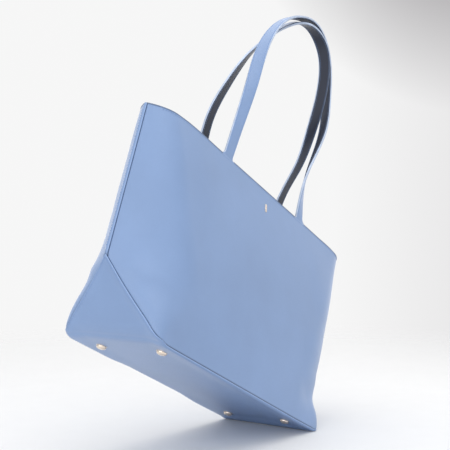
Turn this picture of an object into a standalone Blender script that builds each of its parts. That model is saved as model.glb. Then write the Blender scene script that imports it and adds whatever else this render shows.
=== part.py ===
"""A structured leather shopper bag: two side walls over a wide base, metal feet, two shoulder handles.

The bag stands upright on its four feet. X runs along the bag, -Y is its front, +Z is up, and the
origin is on the ground below the middle of the base. Lengths are in metres.
"""
import math

import bmesh
import bpy
import numpy as np
from mathutils import Matrix, Vector

# Outer shape of the body
BASE_LENGTH = 0.356
BASE_DEPTH = 0.150
SHOULDER_LENGTH = 0.451
SHOULDER_HEIGHT = 0.087
TOP_LENGTH = 0.478
TOP_HEIGHT = 0.281
MOUTH_DEPTH = 0.049
BASE_CORNER = 0.007
SHOULDER_CORNER = 0.100
TOP_CORNER = 0.037
BASE_FOLD = 0.005
GUSSET_POINT = 0.004

# How the outer shape curves, as powers and shares
END_CURVE_SHARE = 0.92
WALL_CURVE_SHARE = 1.52
DIAGONAL_CURVE_SHARE = 1.1
CORNER_END_SHARE = 2.35
CORNER_BASE_SHARE = 2.07
CORNER_TOP_SHARE = 1.19
BASE_WIDTH_SHARE = 0.7
SHOULDER_LEVEL_SHARES = (0.2, 0.45, 0.7, 0.88, 0.96, 1.0)
TOP_LEVEL_SHARES = (0.25, 0.5, 0.7)
WALL_FLAT_SHARES = (-1.0, -0.4, 0.4, 1.0)
CORNER_STEPS = 7
FOLD_STEPS = 3

# Layers of the body
LEATHER = 0.0016
FACING_LEATHER = 0.0014
LINING = 0.0007
FACING_HEIGHT = 0.040
LAYER_GAP = 0.0003
LINING_FOLD = 0.004

# Stiffener in the base
BOARD_THICKNESS = 0.002
BOARD_MARGIN = 0.006
BOARD_SIDE_MARGIN = 0.0026
BOARD_CORNER = 0.010

# Metal feet and their washers
FOOT_HEIGHT = 0.0042
FOOT_RADIUS = 0.0062
FOOT_PAD_RADIUS = 0.0034
FOOT_STEM_RADIUS = 0.0015
FOOT_END_MARGIN = 0.038
FOOT_SIDE_MARGIN = 0.02775
WASHER_RADIUS = 0.005
WASHER_THICKNESS = 0.0007
BORE_CLEARANCE = 0.0003
FOOT_ROUND_STEPS = 20
FOOT_DOME_STEPS = 5

# Handles
HANDLE_SPACING = 0.188
HANDLE_DROP = 0.304
STRAP_WIDTH = 0.018
STRAP_OUTER = 0.0011
STRAP_CORE = 0.0006
STRAP_STATIONS = 56

# Routes of the handles: across, deep, up and twist, as shares of half the spacing, half the mouth,
# the drop and half a turn
FRONT_ROUTE_SHARES = (
    (-1.00, -0.94, 0.000, 0.00),
    (-0.91, -0.75, 0.205, 0.06),
    (-0.82, -0.56, 0.415, 0.21),
    (-0.76, -0.44, 0.617, 0.41),
    (-0.51, -0.32, 0.799, 0.51),
    (-0.02, -0.14, 0.941, 0.52),
    (0.50, 0.02, 0.998, 0.53),
    (1.03, 0.16, 0.935, 0.54),
    (1.31, 0.10, 0.752, 0.56),
    (1.27, -0.38, 0.539, 0.62),
    (1.09, -0.66, 0.358, 0.70),
    (0.96, -0.79, 0.184, 0.82),
    (1.00, -0.94, 0.000, 1.00),
)
BACK_ROUTE_SHARES = (
    (-1.00, 0.94, 0.000, 0.00),
    (-1.10, 0.75, 0.184, 0.05),
    (-1.00, 0.58, 0.369, 0.11),
    (-0.80, 0.44, 0.554, 0.20),
    (-0.51, 0.30, 0.723, 0.37),
    (-0.14, 0.07, 0.877, 0.53),
    (0.30, -0.07, 0.963, 0.64),
    (0.84, -0.06, 0.927, 0.77),
    (1.15, 0.12, 0.744, 0.84),
    (1.21, 0.34, 0.530, 0.89),
    (1.17, 0.52, 0.330, 1.02),
    (1.06, 0.70, 0.186, 1.06),
    (1.00, 0.94, 0.000, 1.00),
)

# Tabs that hold the handles inside the mouth
ANCHOR_HEIGHT = 0.036
ANCHOR_THICKNESS = 0.0012
ANCHOR_TOP_MARGIN = 0.001

# Plain metal plate on the front
BADGE_WIDTH = 0.0034
BADGE_HEIGHT = 0.012
BADGE_THICKNESS = 0.001
BADGE_DROP = 0.027
BADGE_ROUNDING = 0.0003

# Magnetic closure
SNAP_DROP = 0.021
SNAP_RADIUS = 0.009
SNAP_THICKNESS = 0.002
SNAP_NUB_RADIUS = 0.004
SNAP_NUB_HEIGHT = 0.0014
SNAP_SOCKET_CLEARANCE = 0.0004
SNAP_STEPS = 28

# Zipped pocket on the back lining
POCKET_LENGTH = 0.200
POCKET_DROP = 0.055
POCKET_HEIGHT = 0.114
POCKET_THICKNESS = 0.0015
ZIP_DROP = 0.069
ZIP_OPENING_LENGTH = 0.176
ZIP_OPENING_HEIGHT = 0.008
WELT_WIDTH = 0.004
WELT_THICKNESS = 0.0012
TAPE_THICKNESS = 0.0008
TEETH_WIDTH = 0.004
TEETH_THICKNESS = 0.0008
SLIDER_LENGTH = 0.010
SLIDER_HEIGHT = 0.008
SLIDER_THICKNESS = 0.0026
SLIDER_END_MARGIN = 0.003
SLIDER_ROUNDING = 0.0008
BRIDGE_POST = 0.0012
BRIDGE_SPACING = 0.0074
BRIDGE_RISE = 0.0019
BRIDGE_RADIUS = 0.0007
PULL_LENGTH = 0.024
PULL_WIDTH = 0.005
PULL_THICKNESS = 0.0012
PULL_EYE_RADIUS = 0.0017
PULL_ROUNDING = 0.0004
ROUND_STEPS = 16

# Cutters reach past what they cut by this much, and merged points lie closer than this
OVERRUN = 0.001
MERGE = 0.00001

# Colours, roughness and metallic value of each material
MATERIALS = {
    "blue_leather": ((0.235, 0.355, 0.600), 0.45, 0.0),
    "navy_leather": ((0.026, 0.033, 0.056), 0.50, 0.0),
    "navy_lining": ((0.035, 0.046, 0.080), 0.85, 0.0),
    "board": ((0.300, 0.270, 0.230), 0.90, 0.0),
    "gold_metal": ((0.800, 0.600, 0.300), 0.20, 1.0),
    "dark_tape": ((0.030, 0.038, 0.065), 0.80, 0.0),
}

FLOOR_Z = FOOT_HEIGHT
HALF_LENGTH = BASE_LENGTH / 2
WALL_BOTTOM = FLOOR_Z + LEATHER + LAYER_GAP
FOLD_TOP = FLOOR_Z + BASE_FOLD
FACING_BOTTOM = TOP_HEIGHT - FACING_HEIGHT
LINING_INSET = LEATHER + LAYER_GAP
FACING_INNER = LINING_INSET + FACING_LEATHER
LINING_INNER = LINING_INSET + LINING
BOARD_BOTTOM = FLOOR_Z + LEATHER + LAYER_GAP
WASHER_BOTTOM = BOARD_BOTTOM + BOARD_THICKNESS + LAYER_GAP
WASHER_TOP = WASHER_BOTTOM + WASHER_THICKNESS
LINING_FLOOR = WASHER_TOP + LAYER_GAP
LINING_BOTTOM = LINING_FLOOR + LINING + LAYER_GAP
STRAP_THICKNESS = LEATHER + LAYER_GAP + FACING_LEATHER
POCKET_TOP = TOP_HEIGHT - POCKET_DROP
ZIP_HEIGHT = TOP_HEIGHT - ZIP_DROP


def clear_scene():
    for item in list(bpy.data.objects):
        bpy.data.objects.remove(item, do_unlink=True)


def make_collection(name):
    collection = bpy.data.collections.new(name)
    bpy.context.scene.collection.children.link(collection)
    return collection


def make_materials():
    made = {}
    for name, (colour, roughness, metallic) in MATERIALS.items():
        material = bpy.data.materials.new(name)
        material.use_nodes = True
        shader = material.node_tree.nodes["Principled BSDF"]
        shader.inputs["Base Color"].default_value = (*colour, 1.0)
        shader.inputs["Roughness"].default_value = roughness
        shader.inputs["Metallic"].default_value = metallic
        material.diffuse_color = (*colour, 1.0)
        made[name] = material
    return made


# The outer shape, as functions of the height

def eased(share):
    share = min(max(share, 0.0), 1.0)
    return share * share * (3.0 - 2.0 * share)


def end_reach(z):
    """Half the body's length at a height, with the fold along the base's end."""
    if z < SHOULDER_HEIGHT:
        share = max(z - FLOOR_Z, 0.0) / (SHOULDER_HEIGHT - FLOOR_Z)
        reach = HALF_LENGTH + (SHOULDER_LENGTH / 2 - HALF_LENGTH) * share ** END_CURVE_SHARE
    else:
        share = (z - SHOULDER_HEIGHT) / (TOP_HEIGHT - SHOULDER_HEIGHT)
        reach = (SHOULDER_LENGTH + (TOP_LENGTH - SHOULDER_LENGTH) * share) / 2
    rise = min(max((FOLD_TOP - z) / BASE_FOLD, 0.0), 1.0)
    return reach - BASE_FOLD * (1.0 - math.sqrt(1.0 - rise * rise))


def half_depth(z):
    share = max(z - FLOOR_Z, 0.0) / (TOP_HEIGHT - FLOOR_Z)
    return (BASE_DEPTH + (MOUTH_DEPTH - BASE_DEPTH) * share ** WALL_CURVE_SHARE) / 2


def gusset_half_width(z):
    """Half the width of the triangle that the base leather turns up at each end."""
    full = BASE_DEPTH / 2 - BASE_WIDTH_SHARE * BASE_CORNER
    share = min(max((z - FOLD_TOP) / (SHOULDER_HEIGHT - FOLD_TOP), 0.0), 1.0)
    return full * (1.0 - share) ** DIAGONAL_CURVE_SHARE


def corner_reach(z):
    if z < SHOULDER_HEIGHT:
        share = eased((z - FLOOR_Z) / (SHOULDER_HEIGHT - FLOOR_Z))
        return BASE_CORNER + (SHOULDER_CORNER - BASE_CORNER) * share
    share = (z - SHOULDER_HEIGHT) / (TOP_HEIGHT - SHOULDER_HEIGHT)
    return SHOULDER_CORNER + (TOP_CORNER - SHOULDER_CORNER) * share


def level_heights():
    heights = [WALL_BOTTOM, FOLD_TOP]
    heights += [FOLD_TOP + (SHOULDER_HEIGHT - FOLD_TOP) * share for share in SHOULDER_LEVEL_SHARES]
    heights += [SHOULDER_HEIGHT + (TOP_HEIGHT - SHOULDER_HEIGHT) * share for share in TOP_LEVEL_SHARES]
    return heights + [FACING_BOTTOM, TOP_HEIGHT]


LEVELS = level_heights()


def exact_section(z, inset):
    """The front wall's section at a height, from the left seam to the right one."""
    reach = end_reach(z) - inset
    depth = half_depth(z) - inset
    edge = gusset_half_width(z) + LAYER_GAP / 2
    corner = corner_reach(z)
    ease = eased((z - FLOOR_Z) / (SHOULDER_HEIGHT - FLOOR_Z))
    power = CORNER_BASE_SHARE + (CORNER_TOP_SHARE - CORNER_BASE_SHARE) * ease
    half = []
    for step in range(CORNER_STEPS):
        angle = math.pi / 2 * step / CORNER_STEPS
        x = reach - corner + corner * math.cos(angle) ** (2.0 / CORNER_END_SHARE)
        y = edge + (depth - edge) * math.sin(angle) ** (2.0 / power)
        half.append((x, y))
    left = [(-x, -y) for x, y in half]
    flat = [(share * (reach - corner), -depth) for share in WALL_FLAT_SHARES]
    right = [(x, -y) for x, y in reversed(half)]
    return np.array(left + flat + right)


def section(z, inset):
    """The section between two levels lies on the straight lines between theirs."""
    above = min(max(int(np.searchsorted(LEVELS, z)), 1), len(LEVELS) - 1)
    low, high = LEVELS[above - 1], LEVELS[above]
    share = min(max((z - low) / (high - low), 0.0), 1.0)
    return exact_section(low, inset) * (1.0 - share) + exact_section(high, inset) * share


def wall_depth(z):
    return float(np.interp(z, LEVELS, [half_depth(level) for level in LEVELS]))


def wall_lean():
    """The walls' slope from upright near the mouth, towards the middle."""
    return math.atan2(half_depth(FACING_BOTTOM) - half_depth(TOP_HEIGHT), FACING_HEIGHT)


# Building closed solids

def place(mesh_data, name, collection, material, location=(0.0, 0.0, 0.0), parent=None):
    """An object for a mesh given in its parent's space, with its origin at location."""
    item = bpy.data.objects.new(name, mesh_data)
    collection.objects.link(item)
    mesh_data.materials.append(material)
    item.location = location
    item.parent = parent
    return item


def mesh_from_bmesh(name, bm):
    bmesh.ops.recalc_face_normals(bm, faces=bm.faces)
    mesh_data = bpy.data.meshes.new(name)
    bm.to_mesh(mesh_data)
    bm.free()
    return mesh_data


def sheet_solid(name, outer, inner):
    """A closed sheet between two grids of points, all split along the same diagonals."""
    bm = bmesh.new()
    rows = len(outer)
    columns = len(outer[0])
    top = [[bm.verts.new(point) for point in row] for row in outer]
    low = [[bm.verts.new(point) for point in row] for row in inner]

    def quad(a, b, c, d):
        bm.faces.new((a, b, c))
        bm.faces.new((a, c, d))

    for row in range(rows - 1):
        for column in range(columns - 1):
            for grid in (top, low):
                quad(grid[row][column], grid[row][column + 1],
                     grid[row + 1][column + 1], grid[row + 1][column])
        for column in (0, columns - 1):
            quad(top[row][column], top[row + 1][column], low[row + 1][column], low[row][column])
    for column in range(columns - 1):
        for row in (0, rows - 1):
            quad(top[row][column], top[row][column + 1], low[row][column + 1], low[row][column])
    return mesh_from_bmesh(name, bm)


def box_mesh(name, size, centre=(0.0, 0.0, 0.0), rounding=0.0, steps=2, upright_only=False):
    bm = bmesh.new()
    bmesh.ops.create_cube(bm, size=1.0)
    bmesh.ops.scale(bm, vec=Vector(size), verts=bm.verts)
    if rounding:
        edges = [edge for edge in bm.edges
                 if not upright_only or abs(edge.verts[0].co.z - edge.verts[1].co.z) > MERGE]
        bmesh.ops.bevel(bm, geom=edges, offset=rounding, segments=steps, profile=0.5, affect="EDGES")
    bmesh.ops.translate(bm, vec=Vector(centre), verts=bm.verts)
    return mesh_from_bmesh(name, bm)


def turned(name, collection, material, profile, steps, closed=False, location=(0.0, 0.0, 0.0), parent=None):
    """A profile's points (radius, height), from top to bottom, turned about the object's Z."""
    mesh_data = bpy.data.meshes.new(name)
    edges = [(index, index + 1) for index in range(len(profile) - 1)]
    if closed:
        edges.append((len(profile) - 1, 0))
    mesh_data.from_pydata([(radius, 0.0, height) for radius, height in profile], edges, [])
    item = place(mesh_data, name, collection, material, location, parent)
    screw = item.modifiers.new("turn", "SCREW")
    screw.axis = "Z"
    screw.steps = steps
    screw.render_steps = steps
    screw.use_merge_vertices = True
    screw.merge_threshold = MERGE
    screw.use_smooth_shade = False
    return item


def cut(item, cutter):
    boolean = item.modifiers.new(cutter.name, "BOOLEAN")
    boolean.operation = "DIFFERENCE"
    boolean.solver = "EXACT"
    boolean.object = cutter


def join(item, other):
    boolean = item.modifiers.new(other.name, "BOOLEAN")
    boolean.operation = "UNION"
    boolean.solver = "EXACT"
    boolean.object = other


def hide_cutter(item):
    item.hide_render = True
    item.display_type = "WIRE"


def cylinder_mesh(name, radius, length, steps):
    bm = bmesh.new()
    bmesh.ops.create_cone(bm, cap_ends=True, segments=steps, radius1=radius, radius2=radius, depth=length)
    return mesh_from_bmesh(name, bm)


# The body

def wall_grid(heights, inset, side):
    """Rows of points on a wall; side is -1 for the front and 1 for the back."""
    return [[(x, -side * y, z) for x, y in section(z, inset)] for z in heights]


def wall_piece(name, collection, material, side, heights, outer_inset, inner_inset):
    outer = wall_grid(heights, outer_inset, side)
    inner = wall_grid(heights, inner_inset, side)
    return place(sheet_solid(name, outer, inner), name, collection, material)


def levels_between(low, high):
    return [low] + [z for z in LEVELS if low + MERGE < z < high - MERGE] + [high]


def make_walls(collection, materials):
    for label, side in (("front", -1), ("back", 1)):
        wall_piece(label + "_panel", collection, materials["blue_leather"], side,
                   LEVELS, 0.0, LEATHER)
        wall_piece(label + "_facing", collection, materials["blue_leather"], side,
                   [FACING_BOTTOM, TOP_HEIGHT], LINING_INSET, FACING_INNER)
        wall_piece(label + "_lining", collection, materials["navy_lining"], side,
                   levels_between(LINING_BOTTOM, FACING_BOTTOM - LAYER_GAP), LINING_INSET, LINING_INNER)


def gusset_stations(floor, inset, thickness, fold):
    """Half the strip's run: outer x and z, inner x and z, and half width, from the middle out."""
    bottom = section(max(floor, WALL_BOTTOM), inset)
    right = bottom[bottom[:, 0] > 0.0]

    def plan_half_depth(x):
        return float(np.interp(x, right[:, 0], -right[:, 1]))

    flat_end = end_profile(floor) - inset - fold
    stations = []
    flat = [0.0, flat_end - BASE_CORNER, flat_end]
    for x in flat:
        stations.append((x, floor, x, floor + thickness, plan_half_depth(x)))
    for step in range(1, FOLD_STEPS + 1):
        angle = math.pi / 2 * step / FOLD_STEPS
        z_out = floor + fold * (1.0 - math.cos(angle))
        z_in = floor + fold - (fold - thickness) * math.cos(angle)
        x_out = end_profile(z_out) - inset - fold * (1.0 - math.sin(angle))
        x_in = end_profile(z_in) - inset - fold + (fold - thickness) * math.sin(angle)
        stations.append((x_out, z_out, x_in, z_in, gusset_half_width(z_out) - LAYER_GAP / 2))
    for z in LEVELS:
        if floor + fold + MERGE < z < SHOULDER_HEIGHT - MERGE:
            x = end_reach(z) - inset
            width = max(gusset_half_width(z), GUSSET_POINT / 2) - LAYER_GAP / 2
            stations.append((x, z, x - thickness, z, width))
    return stations


def end_profile(z):
    """The end's reach without the fold, which the strip's own arc makes."""
    return end_reach(max(z, FOLD_TOP)) - max(FOLD_TOP - z, 0.0) * end_slope()


def end_slope():
    return (end_reach(LEVELS[2]) - end_reach(FOLD_TOP)) / (LEVELS[2] - FOLD_TOP)


def make_gusset(name, collection, material, floor, inset, thickness, fold):
    half = gusset_stations(floor, inset, thickness, fold)
    run = [(-x, z, -xi, zi, w) for x, z, xi, zi, w in reversed(half[1:])] + half
    outer = [[(x, -w, z), (x, w, z)] for x, z, xi, zi, w in run]
    inner = [[(xi, -w, zi), (xi, w, zi)] for x, z, xi, zi, w in run]
    return place(sheet_solid(name, outer, inner), name, collection, material)


def make_board(collection, material):
    size = (
        BASE_LENGTH - 2 * BOARD_MARGIN,
        2 * (wall_depth(BOARD_BOTTOM + BOARD_THICKNESS) - BOARD_SIDE_MARGIN),
        BOARD_THICKNESS,
    )
    centre = (0.0, 0.0, BOARD_BOTTOM + BOARD_THICKNESS / 2)
    board = box_mesh("base_board", size, centre, BOARD_CORNER, 5, upright_only=True)
    return place(board, "base_board", collection, material)


# Feet

def foot_places():
    across = HALF_LENGTH - FOOT_END_MARGIN
    deep = BASE_DEPTH / 2 - FOOT_SIDE_MARGIN
    for end, x in (("left", -across), ("right", across)):
        for label, y in (("front", -deep), ("back", deep)):
            yield label + "_" + end, x, y


def foot_profile():
    dome_top = FOOT_HEIGHT - LAYER_GAP
    points = [(0.0, WASHER_TOP), (FOOT_STEM_RADIUS, WASHER_TOP), (FOOT_STEM_RADIUS, dome_top)]
    for step in range(FOOT_DOME_STEPS + 1):
        angle = math.pi / 2 * step / FOOT_DOME_STEPS
        radius = FOOT_PAD_RADIUS + (FOOT_RADIUS - FOOT_PAD_RADIUS) * math.cos(angle)
        points.append((radius, dome_top * (1.0 - math.sin(angle))))
    return points + [(0.0, 0.0)]


def make_feet(collection, cutters, materials, pierced):
    washer_bore = FOOT_STEM_RADIUS + BORE_CLEARANCE
    washer_profile = [(WASHER_RADIUS, WASHER_TOP), (WASHER_RADIUS, WASHER_BOTTOM),
                      (washer_bore, WASHER_BOTTOM), (washer_bore, WASHER_TOP)]
    for label, x, y in foot_places():
        turned("foot_" + label, collection, materials["gold_metal"], foot_profile(), FOOT_ROUND_STEPS,
               location=(x, y, 0.0))
        turned("washer_" + label, collection, materials["gold_metal"], washer_profile, FOOT_ROUND_STEPS,
               closed=True, location=(x, y, 0.0))
        length = WASHER_BOTTOM - FLOOR_Z + 2 * OVERRUN
        cutter_mesh = cylinder_mesh("bore_" + label, washer_bore, length, ROUND_STEPS)
        cutter = place(cutter_mesh, "bore_" + label, cutters, materials["gold_metal"],
                       (x, y, (FLOOR_Z + WASHER_BOTTOM) / 2))
        hide_cutter(cutter)
        for item in pierced:
            cut(item, cutter)


# Handles

def natural_spline(points, count):
    """Evenly spaced places along a smooth curve through the points."""
    points = np.array(points)
    chords = np.linalg.norm(np.diff(points[:, :3], axis=0), axis=1)
    knots = np.concatenate(([0.0], np.cumsum(chords)))
    size = len(points)
    matrix = np.zeros((size, size))
    target = np.zeros(points.shape)
    matrix[0, 0] = 1.0
    matrix[-1, -1] = 1.0
    for index in range(1, size - 1):
        before, after = chords[index - 1], chords[index]
        matrix[index, index - 1:index + 2] = (before, 2.0 * (before + after), after)
        rise = (points[index + 1] - points[index]) / after
        fall = (points[index] - points[index - 1]) / before
        target[index] = 6.0 * (rise - fall)
    bend = np.linalg.solve(matrix, target)
    places = np.linspace(0.0, knots[-1], count)
    result = []
    for at in places:
        index = min(int(np.searchsorted(knots, at, side="right")) - 1, size - 2)
        step = chords[index]
        ahead = knots[index + 1] - at
        behind = at - knots[index]
        value = (bend[index] * ahead ** 3 + bend[index + 1] * behind ** 3) / (6.0 * step)
        value = value + (points[index] / step - bend[index] * step / 6.0) * ahead
        value = value + (points[index + 1] / step - bend[index + 1] * step / 6.0) * behind
        result.append(value)
    return np.array(result)


def handle_route(shares):
    """Points and twist of a strap's middle line, with its ends just above the mouth's edge."""
    edge = TOP_HEIGHT + LAYER_GAP
    route = []
    for across, deep, up, twist in shares:
        route.append((across * HANDLE_SPACING / 2, deep * MOUTH_DEPTH / 2, edge + up * HANDLE_DROP, twist))
    middle = (MOUTH_DEPTH - STRAP_THICKNESS) / 2
    for end in (0, -1):
        x, y, z, twist = route[end]
        route[end] = (x, math.copysign(middle, y), z, twist)
    return natural_spline(route, STRAP_STATIONS)


def strap_frames(route, side):
    """Centre, width direction and outward direction at each station of a strap."""
    frames = []
    count = len(route)
    for index, station in enumerate(route):
        centre = Vector(station[:3])
        if index in (0, count - 1):
            along = Vector((0.0, 0.0, 1.0 if index == 0 else -1.0))
        else:
            along = Vector(route[index + 1][:3] - route[index - 1][:3]).normalized()
        angle = math.pi * station[3]
        across = Vector((-side * math.cos(angle), -math.sin(angle), 0.0))
        across = (across - along * across.dot(along)).normalized()
        frames.append((centre, across, across.cross(along)))
    return frames


def strap_layer(name, frames, low, high, pivot):
    """One layer of a strap, between two distances from its middle line."""
    grids = []
    for distance in (high, low):
        rows = []
        for centre, across, outward in frames:
            spot = centre - pivot + outward * distance
            rows.append([spot - across * STRAP_WIDTH / 2, spot + across * STRAP_WIDTH / 2])
        grids.append(rows)
    return sheet_solid(name, *grids)


def make_handles(collection, materials):
    half = STRAP_THICKNESS / 2
    core_top = half - STRAP_OUTER - LAYER_GAP
    layers = (
        ("outer", "blue_leather", half - STRAP_OUTER, half),
        ("core", "board", core_top - STRAP_CORE, core_top),
        ("backing", "navy_leather", -half, core_top - STRAP_CORE - LAYER_GAP),
    )
    for label, side, shares in (("front", -1, FRONT_ROUTE_SHARES), ("back", 1, BACK_ROUTE_SHARES)):
        pivot = Vector((0.0, side * (MOUTH_DEPTH + LAYER_GAP) / 2, TOP_HEIGHT + LAYER_GAP / 2))
        hinge = bpy.data.objects.new(label + "_handle_hinge", None)
        collection.objects.link(hinge)
        hinge.location = pivot
        frames = strap_frames(handle_route(shares), side)
        for part, material, low, high in layers:
            name = label + "_handle_" + part
            solid = strap_layer(name, frames, low, high, pivot)
            place(solid, name, collection, materials[material], parent=hinge)


def wall_patch(name, collection, material, side, span, heights, outer_inset, inner_inset):
    """A sheet on the flat part of a wall's inside, between two places along X."""
    grids = []
    for inset in (outer_inset, inner_inset):
        grids.append([[(x, side * (wall_depth(z) - inset), z) for x in span] for z in heights])
    return place(sheet_solid(name, *grids), name, collection, material)


def make_anchors(collection, material):
    top = TOP_HEIGHT - ANCHOR_TOP_MARGIN
    near = FACING_INNER + LAYER_GAP
    for label, side in (("front", -1), ("back", 1)):
        for end, x in (("left", -HANDLE_SPACING / 2), ("right", HANDLE_SPACING / 2)):
            span = (x - STRAP_WIDTH / 2, x + STRAP_WIDTH / 2)
            wall_patch("handle_anchor_" + label + "_" + end, collection, material, side, span,
                       [top - ANCHOR_HEIGHT, top], near, near + ANCHOR_THICKNESS)


# Metal plate and magnetic closure

def leaning_empty(name, collection, side, z, inset):
    """An empty on a wall whose local Z points straight out of the wall's inner side."""
    empty = bpy.data.objects.new(name, None)
    collection.objects.link(empty)
    empty.location = (0.0, side * (wall_depth(z) - inset), z)
    empty.rotation_euler = (side * (math.pi / 2 + wall_lean()), 0.0, 0.0)
    return empty


def make_badge(collection, material):
    z = TOP_HEIGHT - BADGE_DROP
    empty = leaning_empty("badge_place", collection, -1, z, 0.0)
    size = (BADGE_WIDTH, BADGE_HEIGHT, BADGE_THICKNESS)
    middle = -(LAYER_GAP + BADGE_THICKNESS / 2)
    plate = box_mesh("front_plate", size, (0.0, 0.0, middle), BADGE_ROUNDING)
    place(plate, "front_plate", collection, material, parent=empty)


def make_snap(collection, material):
    z = TOP_HEIGHT - SNAP_DROP
    base = LAYER_GAP
    face = base + SNAP_THICKNESS
    rim = SNAP_NUB_RADIUS + SNAP_SOCKET_CLEARANCE
    nub_top = face + SNAP_NUB_HEIGHT
    profiles = {
        "snap_stud": ((0.0, nub_top), (SNAP_NUB_RADIUS, nub_top), (SNAP_NUB_RADIUS, face),
                      (SNAP_RADIUS, face), (SNAP_RADIUS, base), (0.0, base)),
        "snap_socket": ((0.0, face - SNAP_NUB_HEIGHT), (rim, face - SNAP_NUB_HEIGHT), (rim, face),
                        (SNAP_RADIUS, face), (SNAP_RADIUS, base), (0.0, base)),
    }
    for name, side in (("snap_stud", -1), ("snap_socket", 1)):
        empty = leaning_empty(name + "_place", collection, side, z, FACING_INNER)
        turned(name, collection, material, profiles[name], SNAP_STEPS, parent=empty)


# Zipped pocket

def make_pocket(collection, cutters, materials):
    near = LINING_INNER + LAYER_GAP
    front = near + POCKET_THICKNESS
    span = (-POCKET_LENGTH / 2, POCKET_LENGTH / 2)
    wall_patch("pocket", collection, materials["navy_lining"], 1, span,
               levels_between(POCKET_TOP - POCKET_HEIGHT, POCKET_TOP), near, front)
    place_zip = leaning_empty("zip_place", collection, 1, ZIP_HEIGHT, front)
    place_zip.rotation_euler.x = math.pi / 2 + zip_lean()
    make_welt(collection, cutters, materials, place_zip)
    make_tape(collection, cutters, materials, place_zip)
    return place_zip


def zip_lean():
    """The slope of the wall's stretch that carries the zip."""
    above = int(np.searchsorted(LEVELS, ZIP_HEIGHT))
    low, high = LEVELS[above - 1], LEVELS[above]
    return math.atan2(half_depth(low) - half_depth(high), high - low)


def make_welt(collection, cutters, materials, place_zip):
    outside = (ZIP_OPENING_LENGTH + 2 * WELT_WIDTH, ZIP_OPENING_HEIGHT + 2 * WELT_WIDTH, WELT_THICKNESS)
    middle = LAYER_GAP + WELT_THICKNESS / 2
    welt = place(box_mesh("pocket_welt", outside, (0.0, 0.0, middle)), "pocket_welt", collection,
                 materials["blue_leather"], parent=place_zip)
    inside = (ZIP_OPENING_LENGTH, ZIP_OPENING_HEIGHT, WELT_THICKNESS + 2 * OVERRUN)
    cutter = place(box_mesh("welt_opening", inside, (0.0, 0.0, middle)), "welt_opening", cutters,
                   materials["dark_tape"], parent=place_zip)
    hide_cutter(cutter)
    cut(welt, cutter)


def make_tape(collection, cutters, materials, place_zip):
    length = ZIP_OPENING_LENGTH - 2 * LAYER_GAP
    height = ZIP_OPENING_HEIGHT - 2 * LAYER_GAP
    tape_mesh = box_mesh("zip_tape", (length, height, TAPE_THICKNESS),
                         (0.0, 0.0, LAYER_GAP + TAPE_THICKNESS / 2))
    tape = place(tape_mesh, "zip_tape", collection, materials["dark_tape"], parent=place_zip)
    ridge_size = (length, TEETH_WIDTH, TEETH_THICKNESS + TAPE_THICKNESS / 2)
    ridge_middle = LAYER_GAP + TAPE_THICKNESS + TEETH_THICKNESS / 2 - TAPE_THICKNESS / 4
    ridge = place(box_mesh("zip_ridge", ridge_size, (0.0, 0.0, ridge_middle)), "zip_ridge", cutters,
                  materials["dark_tape"], parent=place_zip)
    hide_cutter(ridge)
    join(tape, ridge)


def slider_rest():
    """Where the slider stands along X when the zip is closed."""
    return ZIP_OPENING_LENGTH / 2 - SLIDER_LENGTH / 2 - SLIDER_END_MARGIN


def make_slider(collection, cutters, materials, place_zip):
    bottom = 2 * LAYER_GAP + TAPE_THICKNESS + TEETH_THICKNESS
    top = bottom + SLIDER_THICKNESS
    guide = bpy.data.objects.new("slider_guide", None)
    collection.objects.link(guide)
    guide.parent = place_zip
    guide.location = (slider_rest(), 0.0, 0.0)
    body = box_mesh("zip_slider", (SLIDER_LENGTH, SLIDER_HEIGHT, SLIDER_THICKNESS),
                    (0.0, 0.0, (bottom + top) / 2), SLIDER_ROUNDING)
    slider = place(body, "zip_slider", collection, materials["gold_metal"], parent=guide)
    bar_height = top + BRIDGE_RISE
    post_low = top - SLIDER_THICKNESS / 2
    post_high = bar_height + BRIDGE_RADIUS
    for label, x in (("left", -BRIDGE_SPACING / 2), ("right", BRIDGE_SPACING / 2)):
        size = (BRIDGE_POST, 2 * BRIDGE_RADIUS, post_high - post_low)
        post = place(box_mesh("post_" + label, size, (x, 0.0, (post_low + post_high) / 2)),
                     "post_" + label, cutters, materials["gold_metal"], parent=guide)
        hide_cutter(post)
        join(slider, post)
    bar_mesh = cylinder_mesh("bridge_bar", BRIDGE_RADIUS - MERGE, BRIDGE_SPACING, ROUND_STEPS)
    bar_mesh.transform(Matrix.Rotation(math.pi / 2, 4, "Y"))
    bar = place(bar_mesh, "bridge_bar", cutters, materials["gold_metal"], (0.0, 0.0, bar_height), guide)
    hide_cutter(bar)
    join(slider, bar)
    return guide, bar_height


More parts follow.
